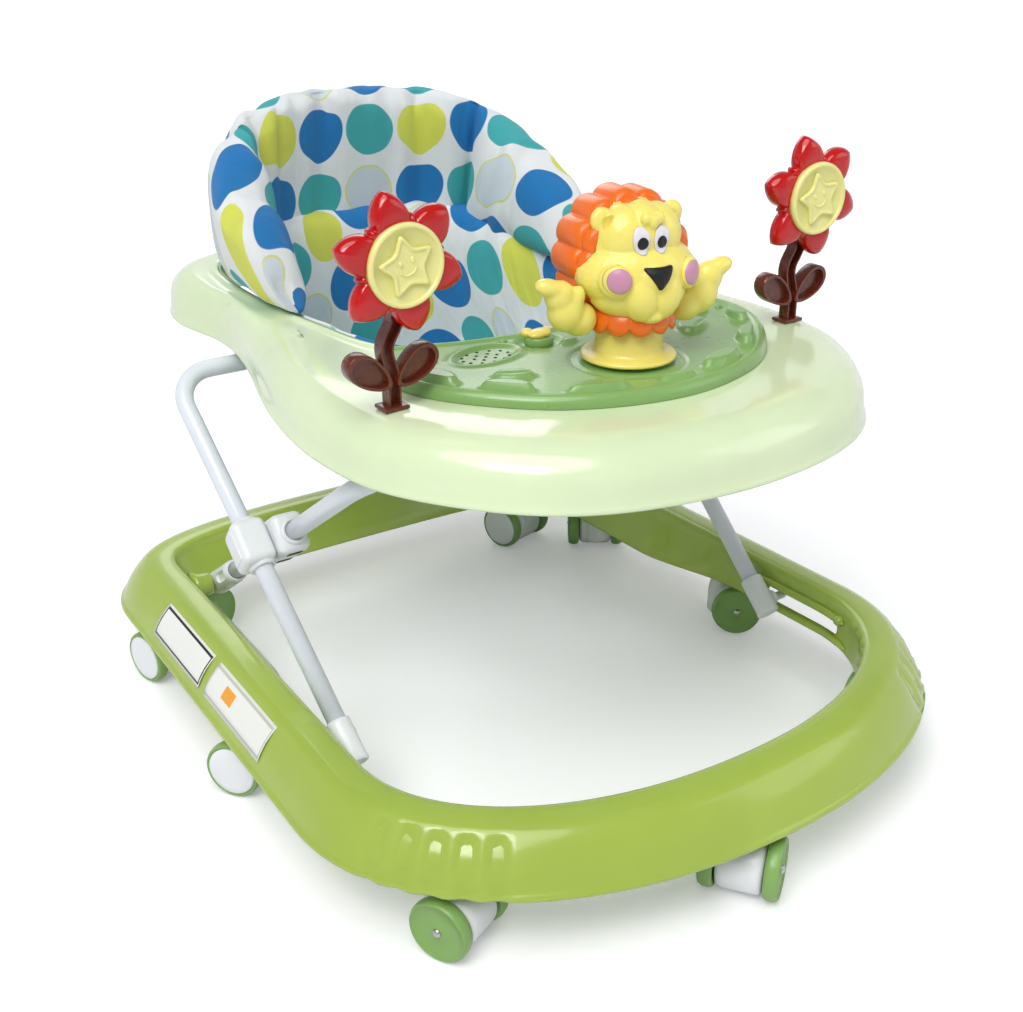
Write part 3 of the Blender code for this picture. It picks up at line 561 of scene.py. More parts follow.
# ---- base ring ---------------------------------------------------------------------------------
def ring_flutes(rim):
    """How far each point of the rim lies in the fluted stretch of a front corner, and its wave."""
    length = np.r_[0.0, np.cumsum(np.hypot(*np.diff(np.r_[rim, rim[:1]], axis=0).T))]
    total = length[-1]
    from_front = np.minimum(length[:-1], total - length[:-1])
    start, end = 0.214, 0.352
    inside = (smoothstep(start, start + 0.010, from_front)
              * (1 - smoothstep(end - 0.03, end, from_front)))
    wave = np.sin((from_front - start) / 0.0245 * math.pi) ** 2
    return inside, wave


def base_ring():
    """The moulded ring: sloping outer wall with fluted corners, flat band, flared inner wall."""
    rim = ring_loop()
    inside, wave = ring_flutes(rim)
    outside = [(0.0042, 0.0600), (0.0012, 0.0580), (-0.0002, 0.0586), (-0.0010, 0.0604),
               (-0.0004, 0.0624), (0.0014, 0.0636), (0.0028, 0.0660), (0.0060, 0.0730),
               (0.0102, 0.0805), (0.0152, 0.0875), (0.0205, 0.0938), (0.0240, 0.0972),
               (0.0268, 0.0992), (0.0296, 0.1004), (0.0340, 0.1012), (0.0420, 0.1018),
               (0.0490, 0.1019), (0.0528, 0.1010), (0.0548, 0.0988), (0.0556, 0.0950)]
    flare = RING_FLARE * smoothstep(-0.05, 0.07, rim[:, 1])
    inner = [(0.0562, 0.12, 0.0900), (0.0567, 0.40, 0.0800), (0.0571, 0.72, 0.0690),
             (0.0575, 0.98, 0.0606), (0.0572, 1.02, 0.0586), (0.0558, 1.00, 0.0586)]
    under = [(0.0540, 0.85, 0.0640), (0.0530, 0.15, 0.0900), (0.0500, 0.0, 0.0975),
             (0.0420, 0.0, 0.0990), (0.0330, 0.0, 0.0975), (0.0200, 0.0, 0.0890),
             (0.0100, 0.0, 0.0760)]
    rows = []
    for distance, height in outside:
        weight = smoothstep(0.066, 0.074, height) * (1 - smoothstep(0.0925, 0.0990, height))
        if height < 0.066:
            weight = 0.45
        loop = inset(rim, distance + 0.0052 * inside * wave * weight)
        rows.append([(x, y, height) for x, y in loop])
    for distance, share, height in inner + under:
        rows.append([(x, y, height) for x, y in inset(rim, distance + flare * share)])
    ring = grid("ring_shell", rows, close_rows=True, close_columns=True)
    cutters = []
    for side, word in SIDES:
        low_y, high_y = FOOT.y - 0.081, FOOT.y + 0.012
        cutters.append(round_box("slot_" + word, (0.030, high_y - low_y, 0.016), 0.0062,
                                 (side * 0.243, (low_y + high_y) / 2, FOOT.z + 0.003)))
    carve(ring, *cutters)
    finish(ring, "lime", "base", "lime_plastic", "base_ring")
    ring_details(rim)


def ring_details(rim):
    """Slot ribs with their end knobs, hinge bosses and caster sockets."""
    wall = inset(rim, RING_WALL)
    for side, word in SIDES:
        pieces = []
        for rise, start, end in ((0.0140, -0.198, -0.070), (-0.0080, -0.205, -0.085)):
            points = wall[(wall[:, 0] * side > 0) & (wall[:, 1] > start) & (wall[:, 1] < end)]
            points = points[np.argsort(points[:, 1])]
            path = [Vector((x - side * 0.0012, y, FOOT.z + rise)) for x, y in points[::2]]
            taper = [min(1.0, 0.25 + index / 2, 0.25 + (len(path) - 1 - index) / 2)
                     for index in range(len(path))]
            pieces.append(sweep("rib", path, circle(RIB_R, 16), (0, 0, 1), taper))
            if rise > 0:
                pieces.append(lump(path[1], (0.0050, 0.0050, 0.0050), around=20, up=14))
        finish(joined("slot_ribs_" + word, pieces), "lime", "base", "lime_plastic")
        face = side * (INNER_X + 0.0125)
        reach = 0.0175
        boss = lathe("hinge_boss_" + word,
                     [(0.0045, 0.0), (0.0100, 0.0), (0.0112, 0.0012), (0.0114, reach * 0.45),
                      (0.0122, reach * 0.7), (0.0150, reach), (0.0045, reach)],
                     (face, BASE_PIVOT.y, BASE_PIVOT.z), (side, 0, 0))
        finish(boss, "lime", "base", "lime_plastic")
    for name in CASTERS:
        x, y = JOINTS["swivel_" + name]["pos_m"][:2]
        socket = lathe("caster_socket_" + name,
                       [(0.0058, 0.0612), (0.0092, 0.0612), (0.0100, 0.0622), (0.0100, 0.088),
                        (0.0100, 0.0965), (0.0058, 0.0965), (0.0058, 0.0612)], (x, y, 0), steps=32)
        finish(socket, "lime", "base", "lime_plastic")


def label(name, start, end, patch):
    """A blank sticker on the left outer wall, between two lengths along it."""
    rim = ring_loop()
    left = rim[(rim[:, 0] < 0) & (rim[:, 1] > start) & (rim[:, 1] < end)]
    left = left[np.argsort(left[:, 1])]
    profile = [(0.0046, 0.0712), (0.0084, 0.0790), (0.0131, 0.0860), (0.0189, 0.0924),
               (0.0240, 0.0966)]
    rows = []
    for x, y in evenly(left, 24):
        rows.append([(x + distance - 0.0006, y, height + 0.0004) for distance, height in profile])
    sheet = grid(name, rows)
    mod = sheet.modifiers.new("film", "SOLIDIFY")
    mod.thickness = 0.0002
    apply_modifiers(sheet)
    finish(sheet, label_material(name + "_print", start, end, patch), "base", "white_plastic")


def label_material(name, start, end, patch):
    """Blank label stock with a printed border and one plain patch of colour."""
    made = bpy.data.materials.new(name)
    made.use_nodes = True
    tree = made.node_tree
    shader = tree.nodes["Principled BSDF"]
    split = tree.nodes.new("ShaderNodeSeparateXYZ")
    tree.links.new(tree.nodes.new("ShaderNodeTexCoord").outputs["Object"], split.inputs["Vector"])
    middle = (start + end) / 2
    along = math_node(tree, "ABSOLUTE", math_node(tree, "SUBTRACT", split.outputs["Y"], middle))
    up = math_node(tree, "ABSOLUTE", math_node(tree, "SUBTRACT", split.outputs["Z"], 0.0845))
    half = (end - start) / 2
    border_a = math_node(tree, "GREATER_THAN", along, half - 0.0050)
    border_b = math_node(tree, "LESS_THAN", along, half - 0.0030)
    border_c = math_node(tree, "GREATER_THAN", up, 0.0095)
    border_d = math_node(tree, "LESS_THAN", up, 0.0110)
    inner = math_node(tree, "MAXIMUM", border_a, border_c)
    outer = math_node(tree, "MINIMUM", border_b, border_d)
    border = math_node(tree, "MULTIPLY", inner, outer)
    mix = tree.nodes.new("ShaderNodeMix")
    mix.data_type = "RGBA"
    mix.inputs["A"].default_value = (0.82, 0.83, 0.78, 1)
    mix.inputs["B"].default_value = (0.02, 0.02, 0.02, 1) if not patch else (0.55, 0.55, 0.48, 1)
    tree.links.new(border, mix.inputs["Factor"])
    colour = mix.outputs["Result"]
    if patch:
        near = math_node(tree, "SUBTRACT", split.outputs["Y"], middle + half * 0.30)
        in_y = math_node(tree, "LESS_THAN", math_node(tree, "ABSOLUTE", near), 0.0100)
        lift = math_node(tree, "SUBTRACT", split.outputs["Z"], 0.0865)
        in_z = math_node(tree, "LESS_THAN", math_node(tree, "ABSOLUTE", lift), 0.0045)
        over = tree.nodes.new("ShaderNodeMix")
        over.data_type = "RGBA"
        over.inputs["B"].default_value = (0.90, 0.36, 0.03, 1)
        tree.links.new(math_node(tree, "MULTIPLY", in_y, in_z), over.inputs["Factor"])
        tree.links.new(colour, over.inputs["A"])
        colour = over.outputs["Result"]
    tree.links.new(colour, shader.inputs["Base Color"])
    shader.inputs["Roughness"].default_value = 0.45
    return made


# ---- casters -----------------------------------------------------------------------------------
CAPPED = {"rear_left": 1, "side_left": 1, "back_right": -1, "rear_right": -1}  # capped side


def caster(name, heading):
    """A hooded swivel body, two dished wheels on one axle, its rivets and a press-on cap."""
    x, y = JOINTS["swivel_" + name]["pos_m"][:2]
    trail = Vector((math.cos(math.radians(heading)), math.sin(math.radians(heading)), 0))
    across = Vector((-trail.y, trail.x, 0))
    axle = Vector((x, y, WHEEL_R)) + trail * TRAIL
    inner = FORK_HALF + 0.0006
    outer = inner + WHEEL_WIDTH
    body = "wheels_" + name
    wheels = []
    for side in (1, -1):
        profile = [(0.0026, outer - 0.0012), (0.0052, outer - 0.0010), (0.0060, outer - 0.0016),
                   (0.0218, outer - 0.0014), (0.0224, outer - 0.0004), (0.0230, outer),
                   (0.0240, outer - 0.0010), (0.0248, outer - 0.0030), (0.0250, outer - 0.0055),
                   (0.0250, inner + 0.0040), (0.0244, inner + 0.0012), (0.0232, inner),
                   (0.0180, inner + 0.0004), (0.0170, inner + 0.0050), (0.0060, inner + 0.0050),
                   (0.0050, inner), (0.0026, inner), (0.0026, outer - 0.0012)]
        wheels.append(lathe("wheel", profile, axle, across * side, 72))
    finish(joined(body, wheels), "wheel_green", body, "wheel_plastic", "caster_wheels_" + name)
    capped = CAPPED.get(name, 0)
    for side in (1, -1):
        if side == capped:
            cap = [(0, outer + 0.0012), (0.0130, outer + 0.0011), (0.0196, outer + 0.0006),
                   (0.0213, outer - 0.0002), (0.0216, outer - 0.0018), (0, outer - 0.0018)]
            finish(lathe("wheel_cap_" + name, cap, axle, across * side, 64), "white_plastic", body,
                   "wheel_plastic")
        else:
            rivet = [(0, outer + 0.0014), (0.0016, outer + 0.0012), (0.0030, outer + 0.0004),
                     (0.0036, outer - 0.0006), (0.0036, outer - 0.0016), (0, outer - 0.0016)]
            word = "near" if side == 1 else "far"
            finish(lathe("axle_rivet_" + word + "_" + name, rivet, axle, across * side, 28), steel(),
                   body, "wheel_plastic")
    hood_r = WHEEL_R - 0.0018
    half = FORK_HALF
    disc = lathe("hood", [(0, half), (hood_r - 0.0060, half), (hood_r - 0.0026, half - 0.0010),
                          (hood_r - 0.0006, half - 0.0034), (hood_r, half - 0.0070),
                          (hood_r, -half + 0.0070), (hood_r - 0.0006, -half + 0.0034),
                          (hood_r - 0.0026, -half + 0.0010), (hood_r - 0.0060, -half),
                          (0, -half)], axle, across, 64)
    neck = lathe("neck", [(0, 0.0604), (0.0078, 0.0604), (0.0085, 0.0598), (0.0085, 0.0500),
                          (0.0110, 0.0450), (0.0124, 0.0360), (0.0124, 0.0140), (0.0110, 0.0120),
                          (0, 0.0120)], (x, y, 0), steps=40)
    stem = lathe("stem", [(0, 0.094), (0.0040, 0.094), (0.0050, 0.0925), (0.0050, 0.058), (0, 0.058)],
                 (x, y, 0), steps=24)
    finish(joined("caster_hood_" + name, [disc, neck, stem]), "white_plastic", "caster_" + name,
           "white_plastic", "caster_body_" + name)


# ---- frame -------------------------------------------------------------------------------------
def rounded_path(corners, radii, steps=16):
    """Straight runs between corners, each inner corner replaced by an arc of its own radius."""
    path = [Vector(corners[0])]
    for before, here, after, radius in zip(corners, corners[1:], corners[2:], radii):
        back = (Vector(before) - Vector(here)).normalized()
        ahead = (Vector(after) - Vector(here)).normalized()
        half_angle = back.angle(ahead) / 2
        reach = radius / math.tan(half_angle)
        centre = Vector(here) + (back + ahead).normalized() * radius / math.sin(half_angle)
        first = Vector(here) + back * reach - centre
        turn = first.rotation_difference(Vector(here) + ahead * reach - centre)
        for step in range(steps + 1):
            path.append(centre + Matrix.Rotation(turn.angle * step / steps, 3, turn.axis) @ first)
    path.append(Vector(corners[-1]))
    return path


def pipe(name, path, radius=TUBE_R, sides=40):
    """A smooth round tube along a path, its frame carried along without twist."""
    ahead = (path[1] - path[0]).normalized()
    side = ahead.orthogonal().normalized()
    rows = []
    for index, point in enumerate(path):
        new = (path[min(index + 1, len(path) - 1)] - path[max(index - 1, 0)]).normalized()
        side = (side - new * side.dot(new)).normalized()
        lift = new.cross(side)
        rows.append([point + (side * math.cos(2 * math.pi * k / sides)
                              + lift * math.sin(2 * math.pi * k / sides)) * radius
                     for k in range(sides)])
    return grid(name, rows, close_columns=True, cap_rows=True)


def leg_x(point):
    share = (point.z - FOOT.z) / (TRAY_PIVOT.z - FOOT.z)
    return FOOT_X + (TOP_X - FOOT_X) * share


def hub(name, side, along, tube_x, low_x, high_x, body, node_name):
    """A moulded clamp block with a collar at each end, a raised pad and two windows shown as dark sheets of
    painted shade.
    """
    tilt = Matrix.Rotation(math.atan2(along.z, along.y), 3, "X")
    width = high_x - low_x
    middle = HUB + Vector((side * (low_x + high_x) / 2, 0, 0))
    outer = name.startswith("outer")
    length, depth = (0.040, 0.031) if outer else (0.046, 0.035)
    main = round_box("main", (width - 0.0006, length, depth), 0.0062, middle, tilt, 5)
    centre = HUB + Vector((side * tube_x, 0, 0))
    collar_profile = [(TUBE_R + 0.0004, -0.0262), (0.0108, -0.0262), (0.0116, -0.0250),
                      (0.0124, -0.018), (0.0124, 0.018), (0.0116, 0.0250), (0.0108, 0.0262),
                      (TUBE_R + 0.0004, 0.0262), (TUBE_R + 0.0004, -0.0262)]
    if outer:
        collar_profile = [(radius, height * 0.86) for radius, height in collar_profile]
    collar = lathe("collar", collar_profile, centre, along, 48)
    outer_face = side * (high_x if outer else low_x)
    facing = side if outer else -side
    pieces = [main, collar]
    if outer:
        pieces.append(round_box("pad", (0.0016, 0.027, 0.019), 0.0007,
                                HUB + Vector((outer_face - facing * 0.0004, 0, 0)), tilt, 3))
    else:
        bosses = [HUB + Vector((outer_face, 0, 0)) + tilt @ Vector((0, shift, 0.0105))
                  for shift in (-HUB_BOSS, HUB_BOSS)]
        for at in bosses:
            pieces.append(lathe("boss", [(0, 0.0008), (0.0032, 0.0008), (0.0040, 0), (0.0040, -0.002),
                                         (0, -0.002)], at, (facing, 0, 0), 24))
    block = joined(name, pieces)
    finish(block, "white_plastic", body, "white_plastic", node_name)
    if not outer:
        # Painted shade: each window is a thin near-black sheet laid on the block where the shade inside the
        # opening would be.
        window_shades = []
        for shift in (-HUB_BOSS, HUB_BOSS):
            at = middle + tilt @ Vector((0, shift, 0.0174))
            window_shades.append(round_box("window", (0.013, 0.008, 0.0012), 0.0004, at, tilt, 2))
        finish(joined(name + "_windows", window_shades), "painted_shade", body, "white_plastic")


def folding_frame():
    """Painted tubes, sleeves with their windows, hubs, feet, and the bolts that join them."""
    along = (HUB - BASE_PIVOT).normalized()
    low_end = BASE_PIVOT + along * 0.014
    corners = [Vector((-INNER_X, *low_end.yz)), Vector((-INNER_X, *CROSSBAR.yz)),
               Vector((INNER_X, *CROSSBAR.yz)), Vector((INNER_X, *low_end.yz))]
    finish(pipe("inner_frame_pipe", rounded_path(corners, (0.050, 0.050))), "paint", "inner_frame",
           "painted_tube", "inner_frame_tube")
    for side, word in SIDES:
        at = BASE_PIVOT + Vector((side * INNER_X, 0, 0))
        sleeve = lathe("sleeve_" + word,
                       [(0.0084, 0.0480), (0.0098, 0.0480), (0.0106, 0.0472), (0.0113, 0.040),
                        (0.0115, 0.004), (0.0115, -0.0080), (0.0119, -0.0088), (0.0119, -0.0112),
                        (0.0112, -0.0120), (0.0088, -0.0120), (0.0084, -0.0108), (0, -0.0108),
                        (0, 0.0130), (0.0084, 0.0130), (0.0084, 0.0480)],
                       at, along, 48)
        tilt = Matrix.Rotation(math.atan2(along.z, along.y), 3, "X")
        window = round_box("window", (0.0124, 0.0240, 0.0110), 0.0045,
                           at + along * 0.029 + tilt @ Vector((0, 0, 0.0135)), tilt, 4)
        window_side = round_box("window_side", (0.0110, 0.0240, 0.0115), 0.0045,
                                at + along * 0.029 + Vector((side * 0.0135, 0, 0)), tilt, 4)
        carve(sleeve, window, window_side)
        finish(sleeve, "white_plastic", "inner_frame", "white_plastic", "frame_sleeve_" + word)
        sleeve.data.set_sharp_from_angle(angle=math.radians(40))
        pin = lathe("hinge_pin_" + word,
                    [(0, -0.0135), (0.0050, -0.0135), (0.0060, -0.0122), (0.0040, -0.0112),
                     (0.0040, 0.0230), (0, 0.0230)], at, (side, 0, 0), 32)
        finish(pin, steel(), "inner_frame", "steel_pin", "base_pivot_pin_" + word)
        hub("inner_clamp_" + word, side, along, INNER_X, 0.1875, 0.216, "inner_frame",
            "inner_hub_" + word)
        outer_leg(side, word)


def outer_leg(side, word):
    """One outer leg with its foot, which slides in the ring's slot."""
    body = "outer_leg_" + word
    foot = FOOT + Vector((side * FOOT_X, 0, 0))
    top = TRAY_PIVOT + Vector((side * TOP_X, 0, 0))
    along = (top - foot).normalized()
    stub = TRAY_PIVOT + Vector((side * 0.1545, 0, 0))
    path = rounded_path([foot + along * 0.002, top, stub], (0.034,))
    finish(pipe("leg_pipe_" + word, path), "paint", body, "painted_tube", "outer_leg_" + word)
    slider = lathe("foot_" + word,
                   [(0.0083, 0.026), (0.0095, 0.026), (0.0103, 0.0252), (0.0105, 0.022),
                    (0.0105, -0.0080), (0.0110, -0.0088), (0.0110, -0.0112), (0.0102, -0.0120),
                    (0.0080, -0.0120), (0.0076, -0.0108), (0, -0.0108), (0, 0.001),
                    (0.0083, 0.001), (0.0083, 0.026)], foot, along, 48)
    lug = lathe("lug", [(0, 0.0272), (0.0032, 0.0272), (0.0040, 0.0262), (0.0040, 0.009), (0, 0.009)],
                foot + Vector((0, 0, 0.0015)), (side, 0, 0), 28)
    flange = lathe("flange", [(0, 0.0128), (0.0070, 0.0128), (0.0078, 0.0118), (0.0078, 0.0095),
                              (0, 0.0095)],
                   foot + Vector((0, 0, 0.0015)), (side, 0, 0), 32)
    rivet = lathe("rivet", [(0, 0.0112), (0.0018, 0.0112), (0.0026, 0.0104), (0.0026, 0.009),
                            (0, 0.009)],
                  foot + along * 0.015, (-side, 0, 0), 24)
    finish(joined("foot_sleeve_" + word, [slider, lug, flange, rivet]), "white_plastic", body,
           "white_plastic", "foot_slider_" + word)
    hub("outer_clamp_" + word, side, along, leg_x(HUB), 0.2163, 0.2465, body, "outer_hub_" + word)
    inner = HUB + Vector((side * (INNER_X + TUBE_R + 0.0012), 0, 0))
    reach = leg_x(HUB) - INNER_X - 2 * TUBE_R - 0.0024
    pin = lathe("hub_bolt_" + word, [(0, 0), (0.0050, 0), (0.0055, 0.0005), (0.0055, reach - 0.0005),
                                     (0.0050, reach), (0, reach)], inner, (side, 0, 0), 32)
    finish(pin, steel(), "inner_frame", "steel_pin", "hub_pin_" + word)


# ---- tray --------------------------------------------------------------------------------------
def tray():
    """The play tray: beaded lip, upright wall with a soft crease, domed shoulder and seat rim."""
    half = evenly(tray_half(), 161)
    bearings = np.arctan2(half[:, 0], SEAT_CENTRE_Y - half[:, 1])
    opening = at_bearings(opening_half(), bearings, SEAT_CENTRE_Y)
    outer = soft_loop(closed_from_half(half))
    hole = soft_loop(closed_from_half(opening), 10)
    shoulder = [(0.0030, 0.3225), (0.0012, 0.3203), (-0.0003, 0.3205), (-0.0008, 0.3222),
                (0.0000, 0.3240), (0.0012, 0.3262), (0.0016, 0.3330), (0.0024, 0.3400),
                (0.0044, 0.3464), (0.0085, 0.3525), (0.0145, 0.3578), (0.0220, 0.3616),
                (0.0310, 0.3638), (0.0400, 0.3645)]
    flat_inner = inset(hole, -0.0140)
    squeeze = np.hypot(*(outer - hole).T)
    narrow = squeeze < 0.062
    share = np.where(narrow, (squeeze - 0.020) / 0.042, 1.0)
    rows = []
    for distance, z in shoulder:
        rows.append([(x, y, z) for x, y in inset(outer, distance * np.clip(share, 0.25, 1.0))])
    flat_outer = inset(outer, 0.0400 * np.clip(share, 0.25, 1.0))
    for blend in (0.33, 0.66):
        rows.append([(x, y, TRAY_TOP_Z) for x, y in flat_outer * (1 - blend) + flat_inner * blend])
    rim = [(-0.0120, 0.3645), (-0.0085, 0.3650), (-0.0060, 0.3664), (-0.0038, 0.3672),
           (-0.0016, 0.3668), (-0.0003, 0.3652), (0.0002, 0.3620), (0.0000, 0.3500), (-0.0002, 0.3340)]
    rows += [[(x, y, z) for x, y in inset(hole, distance)] for distance, z in rim]
    under = [(-0.0026, 0.3340), (-0.0030, 0.3600), (-0.0120, 0.3618)]
    rows += [[(x, y, z) for x, y in inset(hole, distance)] for distance, z in under]
    below = [(0.0400, 0.3618), (0.0220, 0.3588), (0.0110, 0.3510), (0.0060, 0.3440), (0.0042, 0.3300)]
    for distance, z in below:
        rows.append([(x, y, z) for x, y in inset(outer, distance * np.clip(share, 0.25, 1.0))])
    shell = grid("tray_skin", rows, close_rows=True, close_columns=True)
    finish(shell, "mint", "tray", "mint_plastic", "tray_shell")
    for side, word in SIDES:
        lug = round_box("lug", (0.0090, 0.026, 0.066), 0.003,
                        (side * 0.158, TRAY_PIVOT.y, TRAY_PIVOT.z + 0.0215))
        ribs = [round_box("rib", (0.014, 0.0022, 0.034), 0.0008,
                          (side * 0.168, TRAY_PIVOT.y + shift, 0.345)) for shift in (-0.010, 0.010)]
        finish(joined("tray_hinge_" + word, [lug] + ribs), "mint", "tray", "mint_plastic")
    finish(liner(hole), "panel_green", "tray", "mint_plastic")
    for node_name, material in (("height_rail_left", "mint"), ("height_rail_right", "mint"),
                                ("sound_box", "panel_green"), ("battery_cover", "white_plastic"),
                                ("height_latch", "white_plastic")):
        set_material(frame["nodes"][node_name], material)


def liner(hole):
    """The darker ring round the inside of the seat opening."""
    profile = [(0.0004, 0.3655), (0.0016, 0.3658), (0.0026, 0.3645), (0.0026, 0.3400),
               (0.0010, 0.3395), (0.0004, 0.3410)]
    rows = [[(x, y, z) for x, y in inset(hole, distance)] for distance, z in profile]
    return grid("opening_liner", rows, close_rows=True, close_columns=True)


# ---- toy panel ---------------------------------------------------------------------------------
def bump_at(x, y, centre, radii, turn=0.0, power=2.0):
    """A smooth mound of height 1 over an ellipse."""
    angle = math.radians(turn)
    u = ((x - centre[0]) * math.cos(angle) + (y - centre[1]) * math.sin(angle)) / radii[0]
    v = (-(x - centre[0]) * math.sin(angle) + (y - centre[1]) * math.cos(angle)) / radii[1]
    d = (np.abs(u) ** power + np.abs(v) ** power) ** (1 / power)
    return 1 - smoothstep(0.72, 1.0, d)


MOUNDS = (                       # x, y, half length, half width, turn in degrees, rise
    (0.055, -0.205, 0.024, 0.009, 14, 0.0045), (-0.060, -0.204, 0.026, 0.009, -16, 0.0040),
    (0.112, -0.172, 0.020, 0.010, 42, 0.0050), (-0.115, -0.170, 0.022, 0.010, -42, 0.0045),
    (0.144, -0.124, 0.016, 0.008, 72, 0.0045), (-0.144, -0.126, 0.018, 0.009, -70, 0.0045),
    (0.095, -0.125, 0.022, 0.013, 30, 0.0030), (0.118, -0.092, 0.020, 0.011, -20, 0.0035),
    (0.138, -0.066, 0.014, 0.009, 40, 0.0040), (-0.095, -0.148, 0.018, 0.010, -24, 0.0028),
    (-0.012, -0.102, 0.010, 0.006, 10, 0.0022), (0.045, -0.100, 0.013, 0.008, -10, 0.0030),
    (-0.135, -0.085, 0.012, 0.009, 20, 0.0026), (0.004, -0.215, 0.018, 0.006, 0, 0.0024),
)
RELIEF = 1.45                    # how proud the moulded picture stands
BUTTON_RECESS = 0.0028           # the dish the bird sinks into


def panel_relief(x, y):
    """Height of the panel's moulded picture: hills, a pond, leaves, pebbles and a path."""
    height = np.zeros_like(x)
    for centre_x, centre_y, length, width, turn, rise in MOUNDS:
        height = height + RELIEF * rise * bump_at(x, y, (centre_x, centre_y), (length, width), turn)
    pond = bump_at(x, y, POND, (0.034, 0.020), 12)
    pond_edge = bump_at(x, y, POND, (0.039, 0.025), 12) - pond
    height = height - 0.0012 * pond + 0.0022 * pond_edge
    for leaf_x, leaf_y, turn in ((0.100, -0.128, 30), (0.118, -0.092, -20), (-0.096, -0.148, -24)):
        vein = bump_at(x, y, (leaf_x, leaf_y), (0.016, 0.0018), turn)
        height = height - 0.0014 * vein
    distance = np.hypot(x - LION_AXIS.x, y - LION_AXIS.y)
    groove = smoothstep(0.040, 0.0425, distance) * (1 - smoothstep(0.0435, 0.046, distance))
    flat = 1 - smoothstep(0.044, 0.050, distance)
    height = height * (1 - flat) - 0.0014 * groove
    near = 1 - smoothstep(0.0165, 0.0190, np.hypot(x - BUTTON_AT[0], y - BUTTON_AT[1]))
    return height * (1 - near) - BUTTON_RECESS * near


def toy_panel():
    """The crescent panel: bevelled edge, raised rim bead and the moulded picture inside."""
    half = evenly(panel_half(), 201)
    loop = soft_loop(closed_from_half(half), 12)
    xs = half[:, 0]
    turn_index = int(np.argmax(xs))
    front, rear = half[:turn_index + 1], half[turn_index:][::-1]
    low = TRAY_TOP_Z + 0.0004
    top = PANEL_TOP_Z - 0.0030
    rows = []
    edge = [(0.0000, low), (-0.0002, low + 0.0030), (0.0008, low + 0.0058), (0.0026, top + 0.0004),
            (0.0048, top + 0.0016), (0.0070, top + 0.0016), (0.0090, top + 0.0004),
            (0.0104, top - 0.0004)]
    for distance, z in edge:
        rows.append([(x, y, z) for x, y in inset(loop, distance)])
    start = inset(loop, 0.0118)
    reach = 0.80
    spine_x = start[:, 0] * reach
    limit = xs[turn_index] * reach
    spine_x = np.clip(spine_x, -limit, limit)
    spine_y = 0.5 * (np.interp(np.abs(spine_x), front[:, 0], front[:, 1])
                     + np.interp(np.abs(spine_x), rear[:, 0], rear[:, 1]))
    spine = np.column_stack([spine_x, spine_y])
    for blend in np.linspace(0.0, 1.0, 42):
        ring = start * (1 - blend) + spine * blend
        z = top + panel_relief(ring[:, 0], ring[:, 1])
        rows.append([(x, y, height) for (x, y), height in zip(ring, z)])
    panel = grid("panel_skin", rows, close_columns=True)
    weld = panel.modifiers.new("weld", "WELD")
    weld.merge_threshold = 0.00002
    apply_modifiers(panel)
    finish(panel, "panel_green", "tray", "panel_plastic", "toy_panel")
    panel_details(top)
    bird_button()


def panel_details(top):
    """Speaker holes in the pond and pebbles along the rear edge."""
    # Painted shade: each speaker hole is a small near-black disc set into the pond, standing in for the
    # shade inside the hole.
    holes = []
    for ring, count in ((0.0, 1), (0.0075, 6), (0.0150, 12)):
        for k in range(count):
            angle = 2 * math.pi * k / count
            at = (POND[0] + ring * math.cos(angle) * 1.35, POND[1] + ring * math.sin(angle) * 0.85)
            holes.append(lathe("hole", [(0, 0.0003), (0.0011, 0.0003), (0.0014, 0.0), (0, -0.001)],
                               (*at, top - 0.0011), steps=16))
    finish(joined("speaker_hole_shades", holes), "painted_shade", "tray", "panel_plastic")
    pebbles = []
    for x, y, radius in ((0.060, -0.075, 0.0045), (0.074, -0.072, 0.0035), (0.012, -0.082, 0.0040),
                         (-0.055, -0.074, 0.0035), (0.150, -0.095, 0.0040), (-0.150, -0.100, 0.0042)):
        pebbles.append(lump((x, y, top), (radius, radius * 0.8, radius * 0.55)))
    finish(joined("panel_pebbles", pebbles), "panel_green", "tray", "panel_plastic")


def bird_button():
    """A small yellow button in the form of a plain bird, on its round plunger."""
    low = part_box("bird_button")[0][2]
    x, y = BUTTON_AT
    lumps = [lump((x, y, low + 0.0060), (0.0112, 0.0070, 0.0038), (0, 0, 20)),
             lump((x - 0.0082, y + 0.0048, low + 0.0066), (0.0054, 0.0050, 0.0038)),
             lump((x + 0.0088, y + 0.0034, low + 0.0062), (0.0060, 0.0038, 0.0032), (0, 0, 35)),
             lump((x + 0.0018, y - 0.0042, low + 0.0070), (0.0060, 0.0038, 0.0030), (0, 0, -20))]
    bird = melted("bird_top", lumps, 0.0006, 3)
    finish(bird, "yellow", "bird_button", "yellow_plastic", "bird_button")
    plunger = lathe("bird_plunger", [(0, 0.0040), (0.0104, 0.0040), (0.0112, 0.0032), (0.0114, 0.0),
                                     (0.0114, -0.0040), (0, -0.0040)],
                    (x, y, low), steps=40)
    finish(plunger, "panel_green", "bird_button", "yellow_plastic")


# ---- lion --------------------------------------------------------------------------------------
NOSE = Vector((0.0, -0.0455, 0.0690))     # in the lion's own frame: axis at the origin, face to -Y


def lion_place():
    return Matrix.Translation(LION_AXIS) @ Matrix.Rotation(math.radians(LION_TURN), 4, "Z")


def lion_piece(obj, material, slot, *nodes, smooth=True):
    move(obj, lion_place())
    return finish(obj, material, "lion", slot, *nodes, smooth=smooth)


